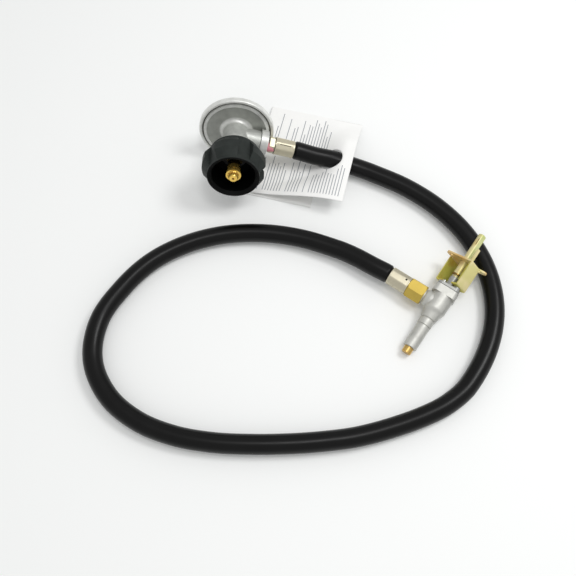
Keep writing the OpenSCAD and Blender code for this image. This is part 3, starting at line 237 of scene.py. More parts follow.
class MetalSettings(PropertyGroup):
    bright_brass: tint("Bright brass", "Colour of the nipple and the adjusting plug", "#f2cb66")
    flare_brass: tint("Nut brass", "Colour of the flare nut", "#cfb453")
    pale_brass: tint("Pale brass", "Colour of the outlet fitting", "#ddd8bd")
    dull_brass: tint("Dull brass", "Colour of the orifice", "#d9b56a")
    ferrule: tint("Ferrule", "Colour of the crimped ferrules", "#cfc8b0")
    plated: tint("Plated steel", "Colour of the plated steel pieces", "#b9bab6")
    zinc: tint("Yellow zinc", "Colour of the bracket's outer face", "#ebdda8")
    film: tint("Zinc film", "Colour of the bracket's inner face", "#d0c860")
    stem: tint("Stem", "Colour of the stem's plating", "#e0d7a2")
    stem_film: tint("Stem film", "Colour of the stem's flat", "#d8dba0")
    bronze: tint("Bronze", "Colour of the stem's clip", "#b08d4b")
    bronze_shade: tint("Bronze's shade", "Colour of the clip's tarnish", "#7c6236")
    wire: tint("Wire", "Colour of the springs", "#9b9da0")
    wire_shade: tint("Wire's shade", "Colour of the springs' tarnish", "#6d6f72")
    edge: size("Edge", "Radius of a deburred edge", 0.18)


class SoftSettings(PropertyGroup):
    sealant: tint("Sealant", "Colour of the dried thread sealant", "#d88a94")
    seal: tint("Seals", "Colour of the diaphragm, disc and gasket", "#1d1e1f")
    coil_sides: IntProperty(name="Coil sides", description="Sides of a spring's round wire",
                            default=12, min=6, max=32)


class StageSettings(PropertyGroup):
    floor: tint("Floor", "Colour of the pale floor", "#f0f1f0")
    lens: FloatProperty(name="Lens", description="Focal length on a 36 mm wide sensor",
                        default=44.476, min=10, unit="CAMERA")
    sky: FloatProperty(name="Sky", description="Strength of the plain white surroundings",
                       default=0.62, min=0)


class GasLineSettings(PropertyGroup):
    hose: PointerProperty(type=HoseSettings)
    leaflet: PointerProperty(type=LeafletSettings)
    cast: PointerProperty(type=CastSettings)
    nut: PointerProperty(type=NutSettings)
    metal: PointerProperty(type=MetalSettings)
    soft: PointerProperty(type=SoftSettings)
    stage: PointerProperty(type=StageSettings)


# ------------------------------------------------------------------ materials


def add(tree, kind, values=None, links=None, **settings):
    """Adds a node, sets its own settings and its inputs' values, and links its inputs."""
    made = tree.nodes.new(kind)
    for name, value in settings.items():
        setattr(made, name, value)
    for name, value in (values or {}).items():
        made.inputs[name].default_value = value
    for name, socket in (links or {}).items():
        tree.links.new(socket, made.inputs[name])
    return made


def rgba(colour):
    return (*colour[:3], 1)


def shaded(colour, share):
    """The colour made darker or lighter by a share."""
    return tuple(min(1.0, c * share) for c in colour[:3])


def material(name, values):
    """A material with one Principled shader, and the shader's own fixed values."""
    made = bpy.data.materials.new(name)
    made.use_nodes = True
    shader = made.node_tree.nodes["Principled BSDF"]
    for key, value in values.items():
        shader.inputs[key].default_value = value
    made.diffuse_color = values.get("Base Color", (0.8, 0.8, 0.8, 1))
    return made, made.node_tree, shader


def local(tree, place):
    """Object coordinates in a piece's own frame, in metres, whose matrix is place."""
    back = place.inverted()
    here = add(tree, "ShaderNodeTexCoord").outputs["Object"]
    return add(tree, "ShaderNodeMapping", {"Location": back.to_translation(),
               "Rotation": back.to_euler()}, {"Vector": here}).outputs["Vector"]


def mottled(tree, vector, scale_mm, low, high, detail=3.0):
    """A soft mix of two colours in patches of about scale_mm."""
    cloud = add(tree, "ShaderNodeTexNoise", {"Scale": 1 / (scale_mm * MM), "Detail": detail,
                "Roughness": 0.55}, {"Vector": vector})
    return ramped(tree, cloud.outputs["Fac"], [(0.35, low), (0.65, high)])


def rough_in(tree, vector, scale_mm, low, high):
    """Roughness that wanders between low and high in patches of about scale_mm."""
    cloud = add(tree, "ShaderNodeTexNoise", {"Scale": 1 / (scale_mm * MM), "Detail": 4.0},
                {"Vector": vector})
    return add(tree, "ShaderNodeMapRange", {"From Min": 0.3, "From Max": 0.7, "To Min": low,
               "To Max": high}, {"Value": cloud.outputs["Fac"]}).outputs["Result"]


def bumped(tree, shader, height, depth_mm, strength=1.0):
    """Bump of a real depth from a height between 0 and 1."""
    bump = add(tree, "ShaderNodeBump", {"Strength": strength, "Distance": depth_mm * MM},
               {"Height": height})
    tree.links.new(bump.outputs["Normal"], shader.inputs["Normal"])


def grained(tree, vector, scale_mm, detail=2.0):
    """The height of an even grain of that size."""
    return add(tree, "ShaderNodeTexNoise", {"Scale": 1 / (scale_mm * MM), "Detail": detail,
               "Roughness": 0.6}, {"Vector": vector}).outputs["Fac"]


def cast_metal(name, place, low, high, roughness, grain_mm, depth_mm, metallic):
    """Die-cast metal: a fine orange-peel skin with faint cloudy flow marks."""
    made, tree, shader = material(name, {"Base Color": rgba(high), "Metallic": metallic})
    here = local(tree, place)
    tree.links.new(mottled(tree, here, 7, low, high, 4.0), shader.inputs["Base Color"])
    tree.links.new(rough_in(tree, here, 3, roughness - 0.06, roughness + 0.06),
                   shader.inputs["Roughness"])
    bumped(tree, shader, grained(tree, here, grain_mm), depth_mm)
    return made


def from_axis(tree, cut):
    """The distance from the local z axis, of separated coordinates."""
    flat = add(tree, "ShaderNodeCombineXYZ", links={"X": cut.outputs["X"], "Y": cut.outputs["Y"]})
    return add(tree, "ShaderNodeVectorMath", links={0: flat.outputs["Vector"]},
               operation="LENGTH").outputs["Value"]


def ramped(tree, value, stops):
    """A colour ramp over (position, linear colour) stops."""
    ramp = add(tree, "ShaderNodeValToRGB", links={"Fac": value})
    while len(ramp.color_ramp.elements) < len(stops):
        ramp.color_ramp.elements.new(0.5)
    for element, (at, colour) in zip(ramp.color_ramp.elements, stops):
        element.position, element.color = at, rgba(colour)
    return ramp.outputs["Color"]


def step(tree, value, start_mm, end_mm, first=0.0, last=1.0):
    """Goes from first at start to last at end."""
    return add(tree, "ShaderNodeMapRange", {"From Min": start_mm * MM, "From Max": end_mm * MM,
               "To Min": first, "To Max": last}, {"Value": value}).outputs["Result"]


def mixed(tree, factor, a, b, **settings):
    """A mix of two colours, each a socket or a linear colour."""
    links = {"A": a, "B": b, "Factor": factor}
    fixed = {k: v for k, v in links.items() if not isinstance(v, bpy.types.NodeSocket)}
    for key in fixed:
        del links[key]
        if key != "Factor":
            fixed[key] = rgba(fixed[key])
    mix = add(tree, "ShaderNodeMix", data_type="RGBA", **settings)
    for key, place in (("Factor", 0), ("A", 6), ("B", 7)):
        if key in fixed:
            mix.inputs[place].default_value = fixed[key]
        else:
            tree.links.new(links[key], mix.inputs[place])
    return mix.outputs[2]


def deepened(tree, shader, height, start_mm, end_mm, share):
    """Darkens a base colour with height, from none at start to a share of it at end, as painted
    shade.
    """
    fed = shader.inputs["Base Color"].links[0].from_socket
    tone = mixed(tree, 1.0, fed, step(tree, height, start_mm, end_mm, 1.0, share),
                 blend_type="MULTIPLY")
    tree.links.new(tone, shader.inputs["Base Color"])


def tool_lines(tree, vector, spacing_mm, waver):
    """A wave node with rings round the local z axis, about spacing_mm apart."""
    return add(tree, "ShaderNodeTexWave", {"Scale": 2 / (spacing_mm * MM) / WAVE_TURN,
               "Distortion": waver, "Detail": 1.0}, {"Vector": vector},
               wave_type="BANDS", bands_direction="Z")


def zoned_casting(name, cast):
    """The regulator's body: a clouded cast face, painted shade in the groove under the rim, and
    brighter rings that are partly a cut finish and partly a painted highlight. Zones follow the
    distance from its axis."""
    made, tree, shader = material(name, {"Base Color": rgba(cast.regulator), "Metallic": 0.45})
    here = local(tree, REGULATOR)
    cut = add(tree, "ShaderNodeSeparateXYZ", links={"Vector": here})
    face, cut_and_lit, groove_shade = cast.regulator, cast.machined_highlight, cast.groove_shade
    reach = step(tree, from_axis(tree, cut), 0, FACE_R)
    # Painted highlights on the fillet and the rim's bead, and painted shade in the groove
    zones = ((0, cut_and_lit), (11, cut_and_lit), (13.0, shaded(cut_and_lit, 0.92)), (14.0, face), (23.3, face),
             (24.1, cut_and_lit), (26.0, cut_and_lit), (26.3, groove_shade), (26.9, groove_shade), (27.3, face))
    ring = ramped(tree, reach, [(radius / FACE_R, colour) for radius, colour in zones])
    # Above the face stand the neck and the outlet's boss, with a turned ring at its end
    end = step(tree, cut.outputs["X"], *BOSS_END)
    boss = mixed(tree, end, cast.neck, shaded(cut_and_lit, 0.9))
    both = mixed(tree, step(tree, cut.outputs["Z"], *FACE_TOP), ring, boss)
    cloud = mottled(tree, here, 6, (0.86,) * 3, (1.06,) * 3, 5.0)
    tree.links.new(mixed(tree, 1.0, both, cloud, blend_type="MULTIPLY"),
                   shader.inputs["Base Color"])
    tree.links.new(rough_in(tree, here, 3, 0.36, 0.5), shader.inputs["Roughness"])
    # A cast grain everywhere, and tool lines round the neck
    lines = tool_lines(tree, here, 1.1, 0.4)
    on_neck = step(tree, cut.outputs["Z"], *NECK_START)
    height = mixed(tree, on_neck, grained(tree, here, 0.6, 4.0), lines.outputs["Color"])
    bumped(tree, shader, height, 0.05)
    return made


def turned_metal(name, place, low, high, roughness, line_mm, depth_mm=0.01, metallic=1.0,
                 cloud_mm=4):
    """Metal turned on a lathe: fine rings round the piece's axis and a cloudy tarnish."""
    made, tree, shader = material(name, {"Base Color": rgba(high), "Metallic": metallic})
    here = local(tree, place)
    tree.links.new(mottled(tree, here, cloud_mm, low, high), shader.inputs["Base Color"])
    tree.links.new(rough_in(tree, here, 2, roughness - 0.04, roughness + 0.04),
                   shader.inputs["Roughness"])
    # Tool lines are finer on the real piece, and are drawn just coarse enough to show
    rings = tool_lines(tree, here, line_mm, 0.6)
    bumped(tree, shader, rings.outputs["Fac"], depth_mm, 0.5)
    return made


def pressed_metal(name, place, low, high, roughness, metallic):
    """Pressed and plated sheet: soft scratches one way and a faint cloud of tarnish."""
    made, tree, shader = material(name, {"Base Color": rgba(high), "Metallic": metallic})
    here = local(tree, place)
    tree.links.new(mottled(tree, here, 5, low, high), shader.inputs["Base Color"])
    tree.links.new(rough_in(tree, here, 2, roughness - 0.05, roughness + 0.07),
                   shader.inputs["Roughness"])
    drawn = add(tree, "ShaderNodeMapping", {"Scale": (1, 1, 0.12)}, {"Vector": here})
    bumped(tree, shader, grained(tree, drawn.outputs["Vector"], 0.35), 0.006)
    return made


# The film's tone drifts from greenish through clear to pinkish over about 16 mm
FILM_DRIFT = ((0.36, "#eff4da"), (0.5, "#ffffff"), (0.64, "#f8dcbc"))


def chromate(name, place, base, film, outside):
    """Yellow chromate on zinc plate: a thin film that is straw-coloured where it was rubbed
    and greener inside, over drawn steel sheet. outside gives a factor of coordinates."""
    made, tree, shader = material(name, {"Base Color": rgba(base), "Metallic": 0.4})
    here = local(tree, place)
    cut = add(tree, "ShaderNodeSeparateXYZ", links={"Vector": here})
    tone = mixed(tree, outside(tree, cut), film, base)
    drift = add(tree, "ShaderNodeTexNoise", {"Scale": 1 / (16 * MM), "Detail": 2.0},
                {"Vector": here})
    cloud = ramped(tree, drift.outputs["Fac"], [(at, linear(text)) for at, text in FILM_DRIFT])
    tree.links.new(mixed(tree, 1.0, tone, cloud, blend_type="MULTIPLY"),
                   shader.inputs["Base Color"])
    tree.links.new(rough_in(tree, here, 3, 0.38, 0.46), shader.inputs["Roughness"])
    drawn = add(tree, "ShaderNodeMapping", {"Scale": (1, 1, 0.15)}, {"Vector": here})
    bumped(tree, shader, grained(tree, drawn.outputs["Vector"], 0.4), 0.006)
    return made


def moulded(name, place, base, roughness, grain_mm=0.35, depth_mm=0.02, cloud=0.8, shine=0.5):
    """Moulded plastic or rubber: one colour with a fine matt grain."""
    made, tree, shader = material(name, {"Base Color": rgba(base), "IOR": 1.5,
                                         "Specular IOR Level": shine})
    here = local(tree, place)
    tree.links.new(mottled(tree, here, 6, shaded(base, cloud), base), shader.inputs["Base Color"])
    tree.links.new(rough_in(tree, here, 5, roughness - 0.05, roughness + 0.05),
                   shader.inputs["Roughness"])
    bumped(tree, shader, grained(tree, here, grain_mm), depth_mm)
    return made


# ------------------------------------------------------------------ meshes


def piece(name, bm, body, finish, node, keep_sharp=None):
    """Makes an object of a bmesh in place of a CAD part, gives it its material and lets it
    ride on its body, if it has one."""
    mesh = bpy.data.meshes.new(name)
    for face in bm.faces:
        face.smooth = True
    if keep_sharp is not None:
        for edge in bm.edges:
            if len(edge.link_faces) == 2 and edge.calc_face_angle(0) > radians(keep_sharp):
                edge.smooth = False
    bm.to_mesh(mesh)
    bm.free()
    made = bpy.data.objects.new(name, mesh)
    bpy.context.scene.collection.objects.link(made)
    made.data.materials.append(finish)
    if body:
        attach(made, body)
    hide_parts(node)
    return made


def body_of_node(node):
    return frame["nodes"][node]["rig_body"]


def eased(node, finish, edge, from_angle=28, segments=2):
    """A copy of a CAD part with its sharp edges broken."""
    bm = bmesh.new()
    bm.from_mesh(frame["nodes"][node].data)
    bmesh.ops.remove_doubles(bm, verts=bm.verts, dist=0.002 * MM)
    bmesh.ops.dissolve_limit(bm, angle_limit=radians(0.3), use_dissolve_boundaries=False,
                             verts=bm.verts, edges=bm.edges)
    sharp = [e for e in bm.edges
             if len(e.link_faces) == 2 and e.calc_face_angle(0) > radians(from_angle)]
    if sharp and edge > 0:
        bmesh.ops.bevel(bm, geom=sharp, offset=edge, offset_type="OFFSET", segments=segments,
                        profile=0.5, affect="EDGES", clamp_overlap=True, material=-1,
                        loop_slide=True)
    made = piece(node + "_eased", bm, body_of_node(node), finish, node, keep_sharp=45)
    shade = made.modifiers.new("Weighted normals", "WEIGHTED_NORMAL")
    shade.keep_sharp = True
    return made


def finish_node(node, finish):
    """Gives a CAD part its material."""
    target = frame["nodes"][node]
    target.data.materials.clear()
    target.data.materials.append(finish)


def coil(name, place, radius, wire, height, turns, finish, node, sides):
    """A helical spring of round wire, in millimetres, that stands on z = 0 of its place."""
    bm = bmesh.new()
    ring = bmesh.ops.create_circle(bm, cap_ends=False, radius=wire * MM, segments=sides)
    rise = (height - 2 * wire) * MM
    start = shifted(radius, 0, wire) @ turned(90, "X")
    bmesh.ops.transform(bm, matrix=start, verts=ring["verts"])
    steps = round(turns * 32)
    bmesh.ops.spin(bm, geom=list(bm.edges), cent=(0, 0, 0), axis=(0, 0, 1),
                   dvec=(0, 0, rise / steps), angle=2 * pi * turns, steps=steps,
                   use_merge=False, use_duplicate=False)
    bmesh.ops.holes_fill(bm, edges=[e for e in bm.edges if e.is_boundary], sides=0)
    bmesh.ops.recalc_face_normals(bm, faces=bm.faces)
    bmesh.ops.transform(bm, matrix=place, verts=bm.verts)
    return piece(name, bm, "housing", finish, node, keep_sharp=50)


# ------------------------------------------------------------------ operators


class GasLineOperator(Operator):
    """What the operators share"""
    bl_options = {"REGISTER", "UNDO"}


class GASLINE_OT_stage(GasLineOperator):
    """Makes the camera, the plain pale floor and the soft light"""
    bl_idname = "gas_line.stage"
    bl_label = "Stage"

    def execute(self, context):
        scene, settings = context.scene, context.scene.gas_line.stage
        camera = bpy.data.cameras.new("camera")
        camera.sensor_width, camera.lens = 36, settings.lens
        camera.clip_start, camera.clip_end = 0.01, 20
        eye = bpy.data.objects.new("camera", camera)
        eye.location = EYE_PLACE
        eye.rotation_euler = [radians(angle) for angle in EYE_TURN]
        scene.collection.objects.link(eye)
        scene.camera = eye

        bm = bmesh.new()
        bmesh.ops.create_grid(bm, x_segments=1, y_segments=1, size=4)
        bmesh.ops.translate(bm, vec=(0, 0, -0.0002), verts=bm.verts)
        mesh = bpy.data.meshes.new("floor")
        bm.to_mesh(mesh)
        bm.free()
        floor = bpy.data.objects.new("floor", mesh)
        scene.collection.objects.link(floor)
        made, tree, shader = material("White melamine board", {"Base Color": rgba(settings.floor),
                                      "Roughness": 0.6, "Specular IOR Level": 0.2})
        # A little paler for the camera and in reflections, with the object's shadow kept
        path = add(tree, "ShaderNodeLightPath")
        seen = add(tree, "ShaderNodeMath", links={0: path.outputs["Is Camera Ray"],
                   1: path.outputs["Is Glossy Ray"]}, operation="MAXIMUM")
        tree.links.new(seen.outputs[0], shader.inputs["Emission Strength"])
        shader.inputs["Emission Color"].default_value = (0.07, 0.072, 0.072, 1)
        mesh.materials.append(made)

        world = bpy.data.worlds.new("studio")
        world.use_nodes = True
        scene.world = world
        sky = world.node_tree.nodes["Background"]
        sky.inputs["Color"].default_value = (1, 1, 1, 1)
        sky.inputs["Strength"].default_value = settings.sky

        for name, place, aim, width, power in SOFTBOXES:
            lamp = bpy.data.lights.new(name, "AREA")
            lamp.shape, lamp.size, lamp.energy = "SQUARE", width, power
            made = bpy.data.objects.new(name, lamp)
            made.location = place
            made.rotation_euler = (Vector(aim) - Vector(place)).to_track_quat("-Z", "Y").to_euler()
            scene.collection.objects.link(made)
        scene.view_settings.view_transform = "Standard"
        return {"FINISHED"}


def extruded_rubber(colour):
    """EPDM rubber cover, extruded: a satin black with a fine grain and a trace of dust."""
    made, tree, shader = material("Extruded EPDM rubber", {
        "Base Color": rgba(colour), "IOR": 1.5, "Specular IOR Level": 0.22})
    here = add(tree, "ShaderNodeTexCoord").outputs["Object"]
    dust = mottled(tree, here, 16, shaded(colour, 0.85), shaded(colour, 1.25), 5.0)
    tree.links.new(dust, shader.inputs["Base Color"])
    tree.links.new(rough_in(tree, here, 9, 0.28, 0.34), shader.inputs["Roughness"])
    bumped(tree, shader, grained(tree, here, 0.5, 3.0), 0.012)
    return made


class GASLINE_OT_hose(GasLineOperator):
    """Makes the rubber hose from ferrule to ferrule"""
    bl_idname = "gas_line.hose"
    bl_label = "Hose"

    def execute(self, context):
        settings = context.scene.gas_line.hose
        out = Vector(OUTLET.col[2][:3])
        inward = -Vector(INLET.col[2][:3])
        on_outlet = [OUTLET @ Vector((0, 0, z * MM))
                     for z in (HOSE_START, HOSE_MOUTH + SWELL_START, HOSE_MOUTH + SWELL)]
        on_inlet = [INLET @ Vector((0, 0, z * MM))
                    for z in (TAIL_MOUTH + SWELL, TAIL_MOUTH + SWELL_START, TAIL_START)]
        points = on_outlet + [Vector(p) * MM for p in HOSE_ROUTE] + on_inlet
        last = len(points) - 1

        def way(i):
            if i <= 2:
                return out
            if i >= last - 2:
                return inward
            return (points[i + 1] - points[i - 1]).normalized()

        curve = bpy.data.curves.new("hose_rubber", "CURVE")
        curve.dimensions, curve.resolution_u = "3D", 14
        curve.bevel_depth, curve.bevel_resolution = settings.radius, 8
        curve.use_fill_caps = True
        curve.twist_mode = "Z_UP"
        line = curve.splines.new("BEZIER")
        line.bezier_points.add(last)
        line.radius_interpolation = "EASE"
        neck = HOSE_NECK_R * MM / settings.radius
        for i, (spot, point) in enumerate(zip(line.bezier_points, points)):
            spot.co = point
            spot.handle_left_type = spot.handle_right_type = "FREE"
            before = (point - points[i - 1]).length / 3 if i else 0.001
            after = (points[i + 1] - point).length / 3 if i < last else 0.001
            spot.handle_left = point - way(i) * before
            spot.handle_right = point + way(i) * after
            spot.radius = neck if i < 2 or i > last - 2 else 1.0
        made = bpy.data.objects.new("hose_rubber", curve)
        context.scene.collection.objects.link(made)

        curve.materials.append(extruded_rubber(settings.rubber))
        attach(made, "housing")
        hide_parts("hose")
        return {"FINISHED"}


def smooth_step(t):
    t = min(max(t, 0.0), 1.0)
    return t * t * (3 - 2 * t)


def ruled_paper(paper, ink):
    """Uncoated offset paper: matt white with fine fibres, and plain grey rules that run up
    the sheet in two columns, of different lengths, with blank ones between."""
    finish, tree, shader = material("Uncoated offset paper", {
        "Base Color": rgba(paper), "Roughness": 0.85, "Specular IOR Level": 0.25})
    where = add(tree, "ShaderNodeTexCoord")
    cut = add(tree, "ShaderNodeSeparateXYZ", links={"Vector": where.outputs["UV"]})
    u, v = cut.outputs["X"], cut.outputs["Y"]

    def worked(kind, first, second=0.0):
        made = add(tree, "ShaderNodeMath", operation=kind)
        for place, value in enumerate((first, second)):
            if isinstance(value, bpy.types.NodeSocket):
                tree.links.new(value, made.inputs[place])
            else:
                made.inputs[place].default_value = value
        return made.outputs[0]

    rows, columns = worked("MULTIPLY", u, 33.0), worked("MULTIPLY", v, 2.0)
    column, along = worked("FLOOR", columns), worked("FRACT", columns)
    # Each rule draws its own chance, which says how long it is and whether it is left out
    key = worked("ADD", worked("FLOOR", rows), worked("MULTIPLY", column, 57.0))
    chance = add(tree, "ShaderNodeTexWhiteNoise", links={"W": key},
                 noise_dimensions="1D").outputs["Value"]
    reach = add(tree, "ShaderNodeMapRange", {"To Min": 0.45, "To Max": 0.93},
                {"Value": chance}).outputs["Result"]
    # The first test is the rule's width. The others are its two ends, the blank rules, the
    # sheet's side margins, a wider margin beside the upper column, and the flap, left bare
    tests = (("LESS_THAN", worked("FRACT", rows), 0.27), ("GREATER_THAN", along, 0.09),
             ("LESS_THAN", along, reach), ("GREATER_THAN", chance, 0.13),
             ("GREATER_THAN", u, 0.06), ("LESS_THAN", u, 0.95),
             ("LESS_THAN", worked("ADD", u, worked("MULTIPLY", column, 0.25)), 0.96),
             ("LESS_THAN", v, 1.0))
    printed = 1.0
    for test in tests:
        printed = worked("MULTIPLY", printed, worked(*test))
    tone = mottled(tree, where.outputs["Object"], 12, shaded(paper, 0.98), paper)
    tree.links.new(mixed(tree, printed, tone, ink), shader.inputs["Base Color"])
    bumped(tree, shader, grained(tree, where.outputs["Object"], 0.6, 4.0), 0.02)
    return finish


def leaf_height(u, v, height):
    """Height of the upper sheet, in millimetres, at a place on it."""
    start = RISE_START * smooth_step(v / RISE_FULL)
    return (LEAF_LOW + (LEAF_HIGH - LEAF_LOW) * smooth_step((u - start) / (RISE_END - start))
            * (1 - smooth_step((v - SIDE_START) / (height - SIDE_START))))


class GASLINE_OT_leaflet(GasLineOperator):
    """Makes the folded instruction leaflet that hangs on the outlet"""
    bl_idname = "gas_line.leaflet"
    bl_label = "Leaflet"

    def execute(self, context):
        settings = context.scene.gas_line.leaflet
        wide, high = settings.width / MM, settings.height / MM
        hole, flap_wide = settings.hole_radius / MM, settings.flap_width / MM
        bm = bmesh.new()
        uv = bm.loops.layers.uv.new("UVMap")
        bmesh.ops.create_grid(bm, x_segments=CELLS_U, y_segments=CELLS_V, size=0.5)
        bmesh.ops.transform(bm, matrix=Matrix.Diagonal((wide, high, 1, 1))
                            @ Matrix.Translation((0.5, 0.5, 0)), verts=bm.verts)
        # The hole: faces inside go, and the edge left is drawn on to the circle
        centre = Vector((HOLE_U, HOLE_V, 0))
        inside = [f for f in bm.faces if (f.calc_center_median() - centre).length < hole]
        bmesh.ops.delete(bm, geom=inside, context="FACES")
        for vert in bm.verts:
            away = vert.co - centre
            if vert.is_boundary and away.length < hole + 2:
                vert.co = centre + away.normalized() * hole
        for _ in range(3):
            ring = [v for v in bm.verts if not v.is_boundary
                    and hole - 1 < (v.co - centre).length < hole + 4]
            bmesh.ops.smooth_vert(bm, verts=ring, factor=0.5, use_axis_x=True, use_axis_y=True,
                                  use_axis_z=False)
        # The fold along the top edge, and the part folded under
        top = [e for e in bm.edges if e.is_boundary and all(v.co.y > high - 0.01
               and FLAP_IN - 0.6 < v.co.x < FLAP_IN + flap_wide + 0.6 for v in e.verts)]
        for face in bm.faces:
            for loop in face.loops:
                loop[uv].uv = (loop.vert.co.x / wide, loop.vert.co.y / high)
        for vert in bm.verts:
            vert.co.z = leaf_height(vert.co.x, vert.co.y, high) + FLAP_Z
        fold_r, edges = LEAF_LOW / 2, top
        steps = [(fold_r * sin(pi * k / FOLD_STEPS),
                  FLAP_Z + fold_r + fold_r * cos(pi * k / FOLD_STEPS))
                 for k in range(1, FOLD_STEPS + 1)]
        steps += [(-(high + FLAP_DROP) * k / FLAP_STEPS, FLAP_Z)
                  for k in range(1, FLAP_STEPS + 1)]
        for number, (out, z) in enumerate(steps):
            grown = bmesh.ops.extrude_edge_only(bm, edges=edges)["geom"]
            verts = [g for g in grown if isinstance(g, bmesh.types.BMVert)]
            edges = [g for g in grown if isinstance(g, bmesh.types.BMEdge)]
            for vert in verts:
                vert.co.y, vert.co.z = high + out, z
            for face in [g for g in grown if isinstance(g, bmesh.types.BMFace)]:
                for loop in face.loops:
                    loop[uv].uv = (loop.vert.co.x / wide, 1.1 + number / len(steps))
        for vert in bm.verts:
            x, y = vert.co.x, vert.co.y
            if vert.co.z > 1 and x < 40:
                # The paper lies slightly wavy, as a damp sheet dries
                vert.co.z += 0.25 * noise.noise(Vector((x * 0.06, y * 0.05, 3.1)))
        bmesh.ops.scale(bm, vec=(MM, MM, MM), verts=bm.verts)
        bmesh.ops.transform(bm, matrix=LEAF_PLACE, verts=bm.verts)

        finish = ruled_paper(settings.paper, settings.ink)
        made = piece("leaflet_paper", bm, "housing", finish,
                     "instruction_leaflet")
        thick = made.modifiers.new("Thickness", "SOLIDIFY")
        thick.thickness, thick.offset = settings.thickness, 0
        return {"FINISHED"}


class GASLINE_OT_castings(GasLineOperator):
    """Finishes the regulator's body, its bonnet and the valve's casting"""
    bl_idname = "gas_line.castings"
    bl_label = "Castings"

    def execute(self, context):
        cast, metal = context.scene.gas_line.cast, context.scene.gas_line.metal
        zinc = zoned_casting("Die-cast zinc", cast)
        eased("regulator_body", zinc, 0.35 * MM)
        shell = pressed_metal("Satin aluminium shell", REGULATOR, cast.shell_shade,
                              cast.shell, 0.4, 0.45)
        eased("bonnet", shell, 0.25 * MM)
        alloy = cast_metal("Die-cast aluminium", VALVE, shaded(cast.valve, 0.88),
                           shaded(cast.valve, 1.05), 0.5, 0.7, 0.03, 0.55)
        eased("valve_body", alloy, cast.edge)
        plate = turned_metal("Plated cap", VALVE, shaded(metal.plated, 0.68),
                             shaded(metal.plated, 0.78), 0.42, 1.0, metallic=0.5)
        eased("valve_cap", plate, 0.2 * MM)
        return {"FINISHED"}


class GASLINE_OT_nut(GasLineOperator):
    """Finishes the hand-tightened cylinder nut and its bushing"""
    bl_idname = "gas_line.nut"
    bl_label = "Cylinder nut"

    def execute(self, context):
        settings = context.scene.gas_line.nut
        nylon = moulded("Glass-filled nylon", REGULATOR, settings.plastic, 0.5, 0.4, 0.02,
                        shine=0.1)
        # Inside the bore and on the mouth the plastic is painted near black, as shade
        tree = nylon.node_tree
        shader = tree.nodes["Principled BSDF"]
        cut = add(tree, "ShaderNodeSeparateXYZ", links={"Vector": local(tree, REGULATOR)})
        outside = step(tree, from_axis(tree, cut), *NUT_BORE_SHADE)
        below = step(tree, cut.outputs["Z"], *NUT_MOUTH_SHADE)
        unshaded = add(tree, "ShaderNodeMath", links={0: outside, 1: below}, operation="MULTIPLY")
        outer = shader.inputs["Base Color"].links[0].from_socket
        tone = mixed(tree, unshaded.outputs[0], shaded(settings.plastic, 0.05), outer)
        tree.links.new(tone, shader.inputs["Base Color"])
        eased("hand_nut", nylon, settings.edge, 25, 3)
        black = moulded("Black acetal", REGULATOR, settings.bushing, 0.5)
        eased("thermal_bushing", black, 0.2 * MM)
        cap = moulded("Dark moulded cap", REGULATOR, settings.cap, 0.5)
        eased("bonnet_cap", cap, 0.3 * MM)
        return {"FINISHED"}


class GASLINE_OT_brass(GasLineOperator):
    """Finishes the turned brass pieces"""
    bl_idname = "gas_line.brass"
    bl_label = "Brass pieces"

    def execute(self, context):
        metal = context.scene.gas_line.metal
        edge = metal.edge
        # Painted shade darkens the nipple's foot, deep in the nut, and the fitting's neck behind
        # its hex
        painted_shade = {"inlet_nipple": NIPPLE_SHADE, "outlet_fitting": FITTING_SHADE}
        for node, slot, label, place, colour, rough, metallic, low in (
                ("inlet_nipple", "nipple_brass", "Bright turned brass", REGULATOR,
                 metal.bright_brass, 0.18, 0.7, 0.92),
                ("flare_nut", "flare_brass", "Machined brass bar", INLET,
                 metal.flare_brass, 0.48, 0.5, 0.93),
                ("outlet_fitting", "fitting_brass", "Pale turned brass", OUTLET,
                 metal.pale_brass, 0.42, 0.45, 0.92),
                ("orifice", "orifice_brass", "Dull turned brass", VALVE,
                 metal.dull_brass, 0.32, 0.7, 0.88),
                ("adjusting_plug", "plug_brass", "Plain brass", REGULATOR,
                 metal.bright_brass, 0.3, 0.9, 0.85)):
            brass = turned_metal(label, place, shaded(colour, low), colour, rough, 0.8,
                                 0.002 if node == "flare_nut" else 0.006, metallic, 7)
            if node in painted_shade:
                tree = brass.node_tree
                cut = add(tree, "ShaderNodeSeparateXYZ", links={"Vector": local(tree, place)})
                deepened(tree, tree.nodes["Principled BSDF"], cut.outputs["Z"], *painted_shade[node])
            eased(node, brass, edge)
        plain = turned_metal("Valve brass", VALVE, shaded(metal.flare_brass, 0.8),
                             metal.flare_brass, 0.3, 0.8)
        for node in ("valve_plug", "hose_tail", "inlet_nozzle", "check_poppet",
                     "seat_plunger", "lever"):
            finish_node(node, plain)
        return {"FINISHED"}


class GASLINE_OT_ferrules(GasLineOperator):
    """Finishes the two crimped ferrules"""
    bl_idname = "gas_line.ferrules"
    bl_label = "Ferrules"

    def execute(self, context):
        metal = context.scene.gas_line.metal
        for node, place in (("regulator_ferrule", OUTLET), ("valve_ferrule", INLET)):
            steel = pressed_metal("Zinc-plated " + node.replace("_", " "), place,
                                  shaded(metal.ferrule, 0.93), metal.ferrule, 0.36, 0.6)
            # Painted shade: the crimping slit, the sight hole and the mouth are darkened below the
            # skin
            tree = steel.node_tree
            cut = add(tree, "ShaderNodeSeparateXYZ", links={"Vector": local(tree, place)})
            deepened(tree, tree.nodes["Principled BSDF"], from_axis(tree, cut), *FERRULE_SHADE)
            eased(node, steel, 0.2 * MM)
        return {"FINISHED"}


